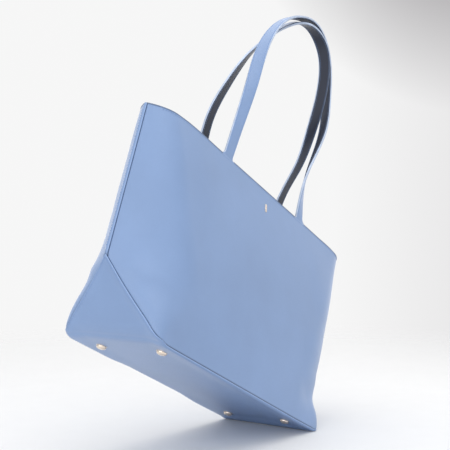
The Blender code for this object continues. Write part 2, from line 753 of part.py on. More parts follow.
def make_pull(collection, cutters, materials, guide, bar_height):
    """The pull's eye turns about the bridge's bar, and the tab hangs straight down from it."""
    hinge = bpy.data.objects.new("zip_pull_hinge", None)
    collection.objects.link(hinge)
    hinge.parent = guide
    hinge.location = (0.0, 0.0, bar_height)
    hinge.rotation_euler = (-(math.pi / 2 + zip_lean()), 0.0, 0.0)
    eye_length = BRIDGE_SPACING - BRIDGE_POST - 2 * LAYER_GAP
    eye_mesh = cylinder_mesh("zip_pull", PULL_EYE_RADIUS, eye_length, ROUND_STEPS)
    eye_mesh.transform(Matrix.Rotation(math.pi / 2, 4, "Y"))
    pull = place(eye_mesh, "zip_pull", collection, materials["gold_metal"], parent=hinge)
    tab = place(box_mesh("pull_tab", (PULL_WIDTH, PULL_THICKNESS, PULL_LENGTH),
                         (0.0, 0.0, -PULL_LENGTH / 2), PULL_ROUNDING),
                "pull_tab", cutters, materials["gold_metal"], parent=hinge)
    hide_cutter(tab)
    join(pull, tab)
    bore_radius = BRIDGE_RADIUS + BORE_CLEARANCE
    bore_mesh = cylinder_mesh("pull_bore", bore_radius, eye_length + 2 * OVERRUN, ROUND_STEPS)
    bore_mesh.transform(Matrix.Rotation(math.pi / 2, 4, "Y"))
    bore = place(bore_mesh, "pull_bore", cutters, materials["gold_metal"], parent=hinge)
    hide_cutter(bore)
    cut(pull, bore)


def main():
    clear_scene()
    collection = make_collection("shopper_bag")
    cutters = make_collection("cutters")
    materials = make_materials()
    make_walls(collection, materials)
    base = make_gusset("base_gusset", collection, materials["blue_leather"], FLOOR_Z, 0.0, LEATHER, BASE_FOLD)
    make_gusset("lining_base", collection, materials["navy_lining"], LINING_FLOOR, LINING_INSET, LINING,
                LINING_FOLD)
    board = make_board(collection, materials["board"])
    make_feet(collection, cutters, materials, (base, board))
    make_handles(collection, materials)
    make_anchors(collection, materials["navy_leather"])
    make_badge(collection, materials["gold_metal"])
    make_snap(collection, materials["gold_metal"])
    place_zip = make_pocket(collection, cutters, materials)
    guide, bar_height = make_slider(collection, cutters, materials, place_zip)
    make_pull(collection, cutters, materials, guide, bar_height)
    bpy.context.view_layer.update()


main()
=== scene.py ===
import math
from functools import cache

import bmesh
import bpy
import numpy as np
from mathutils import Matrix, Vector


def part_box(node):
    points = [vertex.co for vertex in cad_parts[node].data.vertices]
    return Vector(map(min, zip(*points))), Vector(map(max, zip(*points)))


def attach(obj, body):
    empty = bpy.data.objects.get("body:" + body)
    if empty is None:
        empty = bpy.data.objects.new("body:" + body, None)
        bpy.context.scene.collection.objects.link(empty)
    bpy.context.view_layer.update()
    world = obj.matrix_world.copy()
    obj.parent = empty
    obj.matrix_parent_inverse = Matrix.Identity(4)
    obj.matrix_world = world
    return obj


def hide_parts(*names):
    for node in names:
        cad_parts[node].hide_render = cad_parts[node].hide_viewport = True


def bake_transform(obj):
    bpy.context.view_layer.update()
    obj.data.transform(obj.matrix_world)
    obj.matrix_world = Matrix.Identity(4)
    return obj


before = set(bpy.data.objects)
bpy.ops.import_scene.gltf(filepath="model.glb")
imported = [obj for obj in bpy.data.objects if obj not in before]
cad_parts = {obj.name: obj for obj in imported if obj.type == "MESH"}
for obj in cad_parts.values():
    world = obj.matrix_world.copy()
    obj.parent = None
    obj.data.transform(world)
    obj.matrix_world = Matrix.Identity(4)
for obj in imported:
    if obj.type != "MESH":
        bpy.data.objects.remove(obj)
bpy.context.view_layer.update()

TURN = math.tau

# The skin, in metres, as in the solids
FLOOR_Z = 0.0042
BASE_HALF = 0.178
BASE_DEPTH = 0.150
SHOULDER_HALF = 0.2255
SHOULDER_Z = 0.087
TOP_HALF = 0.239
TOP_Z = 0.281
MOUTH_DEPTH = 0.049
CORNERS = (0.007, 0.100, 0.037)
END_FOLD = 0.005
SIDE_FOLD = 0.003
END_CURVE = 0.92
WALL_CURVE = 1.52
DIAGONAL_CURVE = 1.1
CORNER_END = 2.35
CORNER_BASE = 2.07
CORNER_TOP = 1.19
GUSSET_HALF = BASE_DEPTH / 2 - 0.7 * CORNERS[0]
GUSSET_LOW = FLOOR_Z + END_FOLD

# Thicknesses, laps and edges of the sheets
LEATHER = 0.0016
FACING_INSET = 0.0019
FACING_INNER = 0.0033
FACING_Z = 0.241
LINING_INNER = 0.0026
LINING_Z = 0.0101
TUCK = 0.0035
SINK = 0.0009
LAP_RISE = 0.0009
LAP_THICKNESS = 0.0016
LAP_PAST_FOLD = 0.0022
LAP_ROUND = 0.0008
# CREASE is the width of the painted shade beside a lap's edge.
CREASE = 0.0009
BOTTOM_LAP_Z = 0.0067
BOTTOM_LAP_SOFTNESS = 0.0035
TIP_ROUND = 0.0012
MIDDLE_GAP = 0.0002
HAIR = 0.0001

# Straps
STRAP_X = 0.094
STRAP_HALF = 0.009
STRAP_DEPTH = 0.0033
STRAP_ROUND = 0.0011
STRAP_RECESS = 0.0004
STRAP_BORDER = 0.0006
STRAP_CROWN = 0.00018
FILLET = 0.0050
GAP = 0.0003
HANDLE_DROP = 0.304
TAB_DEPTH = 0.0014

# How far the leather settles; humps are size, middle height and width
WAVE = 0.0008
BELLY = 0.0008
CORNER_DIP = 0.0034
SHOULDER_HUMPS = ((0.0045, 0.077, 0.012), (-0.0024, 0.112, 0.017))
SHOULDER_RIGHT_SHARE = 0.4
HOLLOWS = ((0.0033, 0.140, 0.030), (0.0022, 0.175, 0.050))
SWELLS = ((0.0030, 0.108, 0.032), (0.0026, 0.002, 0.012))
SWELL_X, SWELL_Y = 0.64, -0.77
PINCH = (1.0, 0.045, 0.018)
PINCH_X, PINCH_Y = -0.0036, 0.0060
HEEL_SAG = 0.0027
HEEL_BACK_SHARE = 0.75
HEEL_RIGHT_SHARE = 1.4
HEEL_ROUND = 0.015
HEEL_CUT = 0.0030


def smooth01(t):
    t = np.clip(t, 0.0, 1.0)
    return t * t * (3.0 - 2.0 * t)


def rising(value, start, stop):
    """0 up to start and 1 from stop, smooth between them."""
    return smooth01((value - start) / (stop - start))


def falling(value, start, stop):
    """1 up to start and 0 from stop, smooth between them."""
    return smooth01((stop - value) / (stop - start))


def unit(vectors):
    return vectors / np.maximum(np.linalg.norm(vectors, axis=-1, keepdims=True), 1e-12)


def runs_along(points):
    """Length along a line, at each of its points."""
    return np.concatenate(([0.0], np.cumsum(np.linalg.norm(np.diff(points, axis=0), axis=1))))


def sampled(line, runs, at):
    """Values of a line with known runs, at other runs."""
    return np.stack([np.interp(at, runs, column) for column in line.T], axis=-1)


def spaced(low, high, steps, inset, count):
    """Places between two edges, close together near both."""
    steps = np.array(steps)
    return np.concatenate((low + steps, np.linspace(low + inset, high - inset, count), high - steps[::-1]))


def circle(count):
    return np.arange(count) * TURN / count


# The outer skin

def fold_in(z, radius):
    """How far the fold at the bottom draws the skin in, at height z."""
    rise = min(max((FLOOR_Z + radius - z) / radius, 0.0), 1.0)
    return radius * (1.0 - math.sqrt(1.0 - rise * rise))


def end_reach(z):
    if z < SHOULDER_Z:
        share = (max(z - FLOOR_Z, 0.0) / (SHOULDER_Z - FLOOR_Z)) ** END_CURVE
        return BASE_HALF + (SHOULDER_HALF - BASE_HALF) * share - fold_in(z, END_FOLD)
    return SHOULDER_HALF + (TOP_HALF - SHOULDER_HALF) * (z - SHOULDER_Z) / (TOP_Z - SHOULDER_Z)


def half_depth(z):
    share = (max(z - FLOOR_Z, 0.0) / (TOP_Z - FLOOR_Z)) ** WALL_CURVE
    return (BASE_DEPTH + (MOUTH_DEPTH - BASE_DEPTH) * share) / 2 - fold_in(z, SIDE_FOLD)


def gusset_width(z):
    share = min(max((z - GUSSET_LOW) / (SHOULDER_Z - GUSSET_LOW), 0.0), 1.0)
    return GUSSET_HALF * (1.0 - share) ** DIAGONAL_CURVE


@cache
def section(z):
    low, middle, high = CORNERS
    ease = float(smooth01((z - FLOOR_Z) / (SHOULDER_Z - FLOOR_Z)))
    if z < SHOULDER_Z:
        corner = low + (middle - low) * ease
    else:
        corner = middle + (high - middle) * (z - SHOULDER_Z) / (TOP_Z - SHOULDER_Z)
    power = CORNER_BASE + (CORNER_TOP - CORNER_BASE) * ease
    reach, depth, edge = end_reach(z), half_depth(z), gusset_width(z)
    angle = math.pi / 2 * np.linspace(0.0, 1.0, 241) ** 1.4
    x = reach - corner + corner * np.cos(angle) ** (2.0 / CORNER_END)
    y = edge + (depth - edge) * np.sin(angle) ** (2.0 / power)
    x = np.concatenate(([reach], x, [0.0]))
    y = np.concatenate(([0.0], y, [depth]))
    return runs_along(np.stack((x, y), axis=1)), x, y


def outline(z):
    """A quarter of the section at a height: run from the middle of the end, x and y."""
    return section(round(float(z), 7))


def half_run(z):
    return float(outline(z)[0][-1])


half_runs = np.vectorize(half_run)


def skin(z, s, end, side):
    """Points of the outer skin at height z and run s from the middle of an end; s below 0 is past it."""
    z, s, end, side = np.broadcast_arrays(z, s, end, side)
    points = np.empty(z.shape + (3,))
    for level in np.unique(z):
        here = z == level
        run, x, y = outline(level)
        far = np.abs(s[here])
        points[here, 0] = end[here] * np.interp(far, run, x)
        points[here, 1] = side[here] * np.sign(s[here]) * np.interp(far, run, y)
        points[here, 2] = level
    return points


def skin_normals(z, s, end, side):
    step_s, step_z = 0.0003, 0.0004
    across = skin(z, s + step_s, end, side) - skin(z, s - step_s, end, side)
    up = skin(z + step_z, s, end, side) - skin(np.maximum(z - step_z, FLOOR_Z), s, end, side)
    return unit(np.cross(across, up) * (np.asarray(end) * np.asarray(side))[..., None])


def humps(z, *shapes):
    """Sum of soft humps along z, each given as size, middle and width."""
    return sum(size * np.exp(-np.square((z - middle) / width)) for size, middle, width in shapes)


def settle(points):
    """The leather's slack: waves near the ends, a hollow back, a pinched corner, and edges that sag."""
    points = np.array(points, dtype=float)
    x, y, z = np.moveaxis(points, -1, 0)
    across, deep, right = np.abs(x), np.abs(y), np.sign(x)
    front = np.where(y < 0.0, 1.0, 0.0)
    near_end = rising(across, 0.12, 0.18)
    wave = np.sin(z * 41.0 + right * 1.3 + front * 2.1 + across * 17.0)
    wave += 0.6 * np.sin(z * 23.0 - across * 39.0 + front * 1.1 + right)
    wave *= WAVE * rising(across, 0.118, 0.168) * rising(z, 0.02, 0.07) * rising(deep, 0.0, 0.014)
    belly = falling(across, 0.04, 0.12) * rising(z, 0.01, 0.04) * falling(z, 0.04, 0.10)
    belly *= BELLY * np.cos(x * 9.0)
    shoulder = humps(z, *SHOULDER_HUMPS) * rising(deep, 0.008, 0.038) * near_end
    shoulder *= np.where(x < 0.0, 1.0, SHOULDER_RIGHT_SHARE)
    hollow = humps(z, *HOLLOWS) * rising(deep, 0.0, 0.012) * near_end * (1.0 - front)
    corner = rising(x, 0.115, 0.165) * rising(deep, 0.018, 0.048) * front
    pinch, swell = corner * humps(z, PINCH), corner * humps(z, *SWELLS)
    heel = rising(deep, 0.046, 0.073)
    heel = np.where(y < 0.0, heel, HEEL_BACK_SHARE * heel * rising(across, 0.05, 0.10))
    heel = np.maximum(heel, HEEL_RIGHT_SHARE * rising(x, 0.145, 0.175)) * falling(z, 0.008, 0.030)
    dip = CORNER_DIP * rising(across, 0.175, TOP_HALF) * rising(z, 0.20, TOP_Z) + HEEL_SAG * heel
    high = np.clip((z - FLOOR_Z) / HEEL_ROUND, 0.0, 1.0)
    inward = np.clip((BASE_HALF - across) / HEEL_ROUND, 0.0, 1.0)
    cut = HEEL_CUT * np.square((1.0 - inward) * (1.0 - high))
    move_x = right * (shoulder - cut) + SWELL_X * swell + PINCH_X * pinch
    move_y = np.sign(y) * (wave + belly - hollow) + SWELL_Y * swell + PINCH_Y * pinch
    return points + np.stack((move_x, move_y, cut - dip), axis=-1)


def sheet_point(z, s, end, side, offset):
    """A place at a distance outside the skin, after the leather has settled."""
    z, s, end, side, offset = np.broadcast_arrays(z, s, end, side, offset)
    return settle(skin(z, s, end, side) + skin_normals(z, s, end, side) * offset[..., None])


def wall_points(z, x, side, depth):
    """Points of a wall at height z and place x, at a depth inside its skin."""
    z, x, depth = np.broadcast_arrays(z, x, depth)
    return sheet_point(z, half_runs(z) - np.abs(x), np.where(x < 0.0, -1.0, 1.0), side, -depth)


# Meshes

class Builder:
    """Collects vertices and faces of one mesh. A face's tag is the number of its material."""

    def __init__(self):
        self.points, self.shades, self.faces, self.tags = [], [], [], []
        self.count = 0

    def add(self, points, shade=0.0):
        """Shade runs from -1, painted shade in a crease, to 1, a painted highlight on a lap's edge."""
        points = np.asarray(points, dtype=float)
        shape = points.shape[:-1]
        index = self.count + np.arange(math.prod(shape)).reshape(shape)
        self.points.append(points.reshape(-1, 3))
        self.shades.append(np.broadcast_to(shade, shape).reshape(-1))
        self.count += index.size
        return index

    def face(self, corners, tag=0):
        self.faces.append([int(corner) for corner in corners])
        self.tags.append(tag)

    def grid(self, index, tags=0, close_rows=False, close_columns=False):
        rows, columns = index.shape
        tags = np.broadcast_to(tags, index.shape)
        for row in range(rows if close_rows else rows - 1):
            below = (row + 1) % rows
            for column in range(columns if close_columns else columns - 1):
                beside = (column + 1) % columns
                corners = (index[row, column], index[row, beside], index[below, beside], index[below, column])
                self.face(corners, tags[row, column])

    def strip(self, first, second, tag=0):
        for step in range(len(first) - 1):
            self.face((first[step], first[step + 1], second[step + 1], second[step]), tag)

    def block(self, outer, inner):
        """A closed sheet between two grids of points."""
        top, low = self.add(outer), self.add(inner)
        self.grid(top)
        self.grid(low)
        for cut in ((slice(None), 0), (slice(None), -1), 0, -1):
            self.strip(top[cut], low[cut])

    def loft(self, rings, tag=0):
        """A closed body through rings of points, capped at both ends."""
        index = self.add(rings)
        self.grid(index, tag, close_columns=True)
        self.face(index[0], tag)
        self.face(index[-1], tag)

    def finish(self, name, materials, sharp=50.0, weld=0.0):
        mesh = bpy.data.meshes.new(name)
        mesh.from_pydata(np.concatenate(self.points).tolist(), [], self.faces)
        shade = mesh.attributes.new("shade", "FLOAT", "POINT")
        shade.data.foreach_set("value", np.concatenate(self.shades).astype(np.float32))
        for material in materials:
            mesh.materials.append(material)
        mesh.polygons.foreach_set("material_index", np.array(self.tags, dtype=np.int32))
        bm = bmesh.new()
        bm.from_mesh(mesh)
        if weld:
            bmesh.ops.remove_doubles(bm, verts=bm.verts, dist=weld)
            bmesh.ops.dissolve_degenerate(bm, edges=bm.edges, dist=1e-7)
        bmesh.ops.recalc_face_normals(bm, faces=bm.faces)
        bm.to_mesh(mesh)
        bm.free()
        mesh.polygons.foreach_set("use_smooth", [True] * len(mesh.polygons))
        mesh.set_sharp_from_angle(angle=math.radians(sharp))
        return linked(name, mesh)


def linked(name, data):
    item = bpy.data.objects.new(name, data)
    bpy.context.scene.collection.objects.link(item)
    return item


def on_bag(item, slot, *nodes, body="bag"):
    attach(item, body)
    if nodes:
        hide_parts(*nodes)


def on_strap(item, label, side, slot, *nodes):
    """Bakes a piece's transform into its mesh and hides the solids it stands for."""
    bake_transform(item)
    if nodes:
        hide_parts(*nodes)


def edge_drop(distance, radius):
    """How far a rounded edge falls below its face, at a distance from the cut."""
    inside = np.clip(radius - np.asarray(distance, dtype=float), 0.0, radius)
    return radius - np.sqrt(np.maximum(radius * radius - inside * inside, 0.0))


# Materials

class Look:
    """The nodes of a material or a world."""

    def __init__(self, block):
        block.use_nodes = True
        self.block, self.tree = block, block.node_tree

    def fill(self, item, **inputs):
        """Links or sets inputs by name, or by number after an underscore."""
        for label, value in inputs.items():
            label = label.strip("_")
            socket = item.inputs[int(label) if label.isdigit() else label.replace("_", " ")]
            if isinstance(value, bpy.types.NodeSocket):
                self.tree.links.new(value, socket)
            else:
                socket.default_value = value

    def node(self, kind, settings=None, **inputs):
        """Adds a node and returns its outputs."""
        item = self.tree.nodes.new("ShaderNode" + kind)
        for key, value in (settings or {}).items():
            setattr(item, key, value)
        self.fill(item, **inputs)
        return item.outputs

    def shade(self, **inputs):
        self.fill(self.tree.nodes["Principled BSDF"], **inputs)
        return self.block

    def space(self, scale=(1.0, 1.0, 1.0)):
        return self.node("Mapping", Vector=self.node("TexCoord")["Object"], Scale=scale)["Vector"]

    def noise(self, vector, scale, detail=3.0, roughness=0.55):
        return self.node("TexNoise", Vector=vector, Scale=scale, Detail=detail, Roughness=roughness)["Fac"]

    def spread(self, value, low, high, start=0.3, stop=0.7):
        return self.node("MapRange", Value=value, From_Min=start, From_Max=stop, To_Min=low,
                         To_Max=high)["Result"]

    def mixed(self, share, first, second):
        return self.node("Mix", {"data_type": "RGBA"}, _0=share, _6=first, _7=second)[2]

    def varied(self, field, first, second, start=0.3, stop=0.7, most=1.0):
        """Goes from one colour to another, or a share of the way, as a field goes from start to stop."""
        return self.mixed(self.spread(field, 0.0, most, start, stop), first, second)

    def math(self, operation, first, second):
        return self.node("Math", {"operation": operation}, _0=first, _1=second)[0]

    def relief(self, *layers):
        """Chains height fields into one bump; each is (field, strength, distance)."""
        previous = {}
        for field, strength, distance in layers:
            bump = self.node("Bump", Height=field, Strength=strength, Distance=distance, **previous)
            previous = {"Normal": bump["Normal"]}
        self.shade(**previous)


def new_look(name):
    return Look(bpy.data.materials.new(name))


def tint(colour, factor=1.0, lift=0.0):
    return tuple(min(channel * factor + lift, 1.0) for channel in colour) + (1.0,)


def leather_material(name, colour, roughness, grain=1500.0, depth=0.00003, tone=0.06, coat=0.0):
    look = new_look(name)
    vector = look.space()
    fine = look.noise(vector, 420.0, 5.0, 0.65)
    base = look.varied(look.noise(vector, 9.0, 4.0), tint(colour, 1.0 - tone), tint(colour, 1.0 + tone))
    cells = look.node("TexVoronoi", {"feature": "SMOOTH_F1"}, Vector=vector, Scale=grain,
                      Smoothness=0.6)["Distance"]
    base = look.varied(cells, base, tint(colour, 0.80), 0.35, 0.75, 0.16)
    # Painted light from the shade attribute: below zero the colour darkens towards 0.3 of itself as painted
    # shade in creases, above zero it lightens as a painted highlight on lap edges.
    shade = look.node("Attribute", {"attribute_name": "shade"})["Fac"]
    base = look.varied(shade, tint(colour, 0.30), base, -0.9, 0.0)
    base = look.varied(shade, base, tint(colour, 1.25, 0.06), 0.0, 1.0, 0.8)
    look.relief((cells, 0.55, depth), (fine, 0.35, depth * 0.8))
    return look.shade(Base_Color=base, Roughness=look.spread(fine, roughness - 0.05, roughness + 0.07),
                      Coat_Weight=coat, Coat_Roughness=0.42)


def fabric_material(name, colour, pitch=0.0006, sheen=0.25):
    look = new_look(name)
    vector = look.space()
    light = tint(colour, 1.22)
    base = look.varied(look.noise(vector, 14.0, 4.0), tint(colour, 0.82), light)
    waves = []
    for turn in (0.0, math.pi / 2):
        turned_space = look.node("Mapping", Vector=vector, Rotation=(0.0, turn, 0.0))["Vector"]
        waves.append(look.node("TexWave", {"wave_type": "BANDS", "bands_direction": "X"}, Vector=turned_space,
                               Scale=1.0 / (pitch * 20.0) * math.pi, Distortion=0.6, Detail=1.0)["Fac"])
    weave = look.math("MULTIPLY", *waves)
    base = look.varied(weave, base, light, 0.0, 1.0, 0.3)
    fuzz = look.noise(vector, 900.0)
    look.relief((weave, 0.5, 0.0001), (fuzz, 0.3, 0.0001))
    return look.shade(Base_Color=base, Roughness=look.spread(fuzz, 0.78, 0.92), Sheen_Weight=sheen,
                      Sheen_Roughness=0.45, Specular_IOR_Level=0.25)


def metal_material(name, colour, roughness):
    look = new_look(name)
    haze = look.noise(look.space(), 260.0, 4.0)
    look.relief((look.noise(look.space((40.0, 900.0, 900.0)), 2.0, 2.0), 0.08, 0.00002))
    return look.shade(Base_Color=look.varied(haze, tint(colour), tint(colour, 0.86)),
                      Roughness=look.spread(haze, roughness, roughness + 0.08), Metallic=1.0)


def paint_material(name, colour):
    look = new_look(name)
    vector = look.space()
    base = look.varied(look.noise(vector, 60.0, 4.0), tint(colour, 0.85), tint(colour, 1.15))
    ripple = look.noise(vector, 300.0)
    look.relief((ripple, 0.25, 0.0001))
    return look.shade(Base_Color=base, Roughness=look.spread(ripple, 0.34, 0.5))


blue = leather_material("blue_leather_grain", (0.204, 0.311, 0.532), 0.42, coat=0.45)
navy = leather_material("navy_leather_grain", (0.023, 0.029, 0.050), 0.46, 1200.0, 0.00006, 0.15)
lining = fabric_material("navy_lining_weave", (0.035, 0.046, 0.080))
tape = fabric_material("zip_tape_weave", (0.030, 0.038, 0.065), 0.0009)
gold = metal_material("gold_polished", (0.93, 0.80, 0.67), 0.10)
paint = paint_material("slate_edge_paint", (0.115, 0.165, 0.270))
pale = paint_material("pale_edge_paint", (0.47, 0.55, 0.70))
thread = fabric_material("blue_thread", (0.210, 0.320, 0.560), 0.0003, 0.1)
board = paint_material("stiffener_board", (0.30, 0.27, 0.23))
teeth = metal_material("teeth_metal", (0.78, 0.68, 0.55), 0.22)


# Front and back leather, each one piece with its strap's outer face

EDGE_STEPS = (0.0, 0.0002, 0.00045, 0.0008, 0.0012, 0.0019)
NEAR_EDGE = (0.0064, 0.0053, 0.0046, 0.0041, 0.0037, 0.0034, 0.0030, 0.0023, 0.0014, 0.0008, 0.0004, 0.00015,
             0.0)
EDGE_BAND = 0.0082
FAR_COLUMNS = 28
PLAIN_HALF = 0.120
STRAP_START = 11
STRAP_POINTS = 900
STRAP_PAINT, MOUTH_PAINT = 2, 1


def seam_height(s):
    """Height of the base leather's cut edge, at a run from the middle of the end."""
    rounded = np.sqrt(np.square(s) + TIP_ROUND ** 2) - TIP_ROUND
    along = GUSSET_LOW + (SHOULDER_Z - GUSSET_LOW) * (1.0 - (rounded / GUSSET_HALF) ** (1.0 / DIAGONAL_CURVE))
    over = np.clip((along - BOTTOM_LAP_Z) / BOTTOM_LAP_SOFTNESS, -40.0, 40.0)
    return BOTTOM_LAP_Z + BOTTOM_LAP_SOFTNESS * np.log1p(np.exp(over))


def strap_columns(half):
    """Places across a strap of that half width."""
    return spaced(-half, half, EDGE_STEPS, 0.0035, 7)


STRAP_COLUMNS = len(strap_columns(STRAP_HALF))
PLAIN = np.concatenate((np.linspace(0.0, 0.072, 10), (0.0765,), STRAP_X + strap_columns(STRAP_HALF + FILLET),
                        (0.1115, 0.1155)))
WALL_ROWS = np.concatenate((
    (0.0050, 0.0060, 0.0066, 0.0069, 0.0073, 0.0078, 0.0085, 0.0092, 0.0104, 0.0120, 0.0142),
    np.arange(0.0170, TOP_Z - 0.0085, 0.0042),
    TOP_Z - np.array((0.0065, 0.0048, 0.0034, 0.0023, 0.0014, 0.0008, 0.0004, 0.00015, 0.0))))


def wall_runs(z, start):
    """Runs s of one half of a row, from the middle of the wall to its cut edge."""
    whole = half_run(z)
    span = whole - PLAIN_HALF - start - EDGE_BAND
    far = whole - PLAIN_HALF - span * np.linspace(0.0, 1.0, FAR_COLUMNS)
    return np.concatenate((whole - PLAIN, far, start + np.array(NEAR_EDGE)))


def wall_grid(start_of, rows):
    """Heights, runs, end signs and places along X of a whole wall, from left to right."""
    half = np.array([wall_runs(z, start_of(z)) for z in rows])
    s = np.concatenate((half[:, ::-1], half[:, 1:]), axis=1)
    count = half.shape[1]
    z, end = np.broadcast_arrays(rows[:, None], np.repeat((-1.0, 1.0), (count, count - 1)))
    return z, s, end, end * (half_runs(rows)[:, None] - s)


def covered_share(z, s):
    """1 where the base leather lies over the wall, 0 from 1.2 mm above its edge."""
    return falling(z - seam_height(np.abs(s)), 0.0002, 0.0012)


# Painted shade, full at a lap's edge and fading out within CREASE of it.
def crease(distance):
    return np.exp(-np.square(np.maximum(distance, 0.0) / CREASE))


def seam_crease(z, s):
    """Painted shade: a dark line on a wall just above the base leather's edge, where its lap shades the wall.
    """
    return crease((z - seam_height(np.abs(s))) * 0.75)


def natural_spline(points, count):
    """Points of a smooth curve through others, whose first three values are places."""
    points = np.array(points)
    knots = runs_along(points[:, :3])
    chords = np.diff(knots)
    size = len(points)
    matrix = np.zeros((size, size))
    target = np.zeros(points.shape)
    matrix[0, 0] = matrix[-1, -1] = 1.0
    for index in range(1, size - 1):
        before, after = chords[index - 1], chords[index]
        matrix[index, index - 1:index + 2] = (before, 2.0 * (before + after), after)
        rise = (points[index + 1] - points[index]) / after
        target[index] = 6.0 * (rise - (points[index] - points[index - 1]) / before)
    bend = np.linalg.solve(matrix, target)
    at = np.linspace(0.0, knots[-1], count)
    index = np.minimum(np.searchsorted(knots, at, side="right") - 1, size - 2)
    after = ((at - knots[index]) / chords[index])[:, None]
    before = 1.0 - after
    curve = bend[index] * (before ** 3 - before) + bend[index + 1] * (after ** 3 - after)
    curve *= np.square(chords[index])[:, None] / 6.0
    return points[index] * before + points[index + 1] * after + curve


# Each strap's middle line: place across and through the bag, height, and half turns of twist, as shares
FRONT_ROUTE = (
    (-1.00, -0.94, 0.000, 0.00),
    (-0.91, -0.75, 0.205, 0.06),
    (-0.82, -0.56, 0.415, 0.21),
    (-0.76, -0.44, 0.617, 0.41),
    (-0.51, -0.32, 0.799, 0.51),
    (-0.02, -0.14, 0.941, 0.52),
    (0.50, 0.02, 0.998, 0.53),
    (1.03, 0.16, 0.935, 0.54),
    (1.31, 0.10, 0.752, 0.56),
    (1.27, -0.38, 0.539, 0.62),
    (1.09, -0.66, 0.358, 0.70),
    (0.96, -0.79, 0.184, 0.82),
    (1.00, -0.94, 0.000, 1.00),
)
BACK_ROUTE = (
    (-1.00, 0.94, 0.000, 0.00),
    (-1.10, 0.75, 0.184, 0.05),
    (-1.00, 0.58, 0.369, 0.11),
    (-0.80, 0.44, 0.554, 0.20),
    (-0.51, 0.30, 0.723, 0.37),
    (-0.14, 0.07, 0.877, 0.53),
    (0.30, -0.07, 0.963, 0.64),
    (0.84, -0.06, 0.927, 0.77),
    (1.15, 0.12, 0.744, 0.84),
    (1.21, 0.34, 0.530, 0.89),
    (1.17, 0.52, 0.330, 1.02),
    (1.06, 0.70, 0.186, 1.06),
    (1.00, 0.94, 0.000, 1.00),
)


class Strap:
    """A strap's middle line with its width and outward directions."""

    def __init__(self, shares, side):
        route = [(across * STRAP_X, deep * MOUTH_DEPTH / 2, TOP_Z + GAP + up * HANDLE_DROP, twist)
                 for across, deep, up, twist in shares]
        for end in (0, -1):
            x, _, z, twist = route[end]
            route[end] = (x, side * (MOUTH_DEPTH - STRAP_DEPTH) / 2, z, twist)
        self.side = side
        self.line = natural_spline(route, STRAP_POINTS)
        last = STRAP_POINTS - 1
        self.line[:, 2] -= GAP * np.interp(np.arange(STRAP_POINTS), (0, 40, last - 40, last), (1, 0, 0, 1))
        self.run = runs_along(self.line[:, :3])
        self.length = float(self.run[-1])

    def frames(self, at):
        """Middle, width direction and outward direction at each run."""
        reach = 0.003
        place, ahead, behind = [sampled(self.line, self.run, at + step) for step in (0.0, reach, -reach)]
        along = unit((ahead - behind)[:, :3])
        angle = math.pi * place[:, 3]
        across = np.stack((-self.side * np.cos(angle), -np.sin(angle), np.zeros(len(at))), axis=1)
        across = unit(across - along * np.sum(across * along, axis=1, keepdims=True))
        return place[:, :3], across, np.cross(across, along)

    def sheet(self, at, place, depth):
        """Points at each run and place across, at a depth below the outer face."""
        centre, across, outward = self.frames(at)
        return (centre[:, None] + across[:, None] * np.atleast_2d(place)[..., None]
                + outward[:, None] * (STRAP_DEPTH / 2 - depth)[..., None])

    def rise(self, at):
        return np.minimum(at, self.length - at)

    def stations(self):
        """Run and half width at each station between the strap's two ends."""
        turn = np.linspace(0.0, math.pi / 2, 8)[1:]
        foot = np.concatenate((FILLET * (1.0 - np.cos(turn)), (0.0085, 0.013)))
        count = int((self.length - 0.036) / 0.0052)
        run = np.concatenate((foot, np.linspace(0.018, self.length - 0.018, count), self.length - foot[::-1]))
        wide = STRAP_HALF + FILLET * (1.0 - np.sin(turn))
        return run, np.concatenate((wide, np.full(count + 4, STRAP_HALF), wide[::-1]))


def strap_edge_distance(place, half, height):
    """Distance to the cut edge on and below a strap's foot, with its concave corner."""
    place = np.abs(place)
    corner = np.hypot(STRAP_HALF + FILLET - place, FILLET - height) - FILLET
    foot = np.where(place > STRAP_HALF + FILLET, -height, corner)
    return np.where(height >= FILLET, half - place, foot)


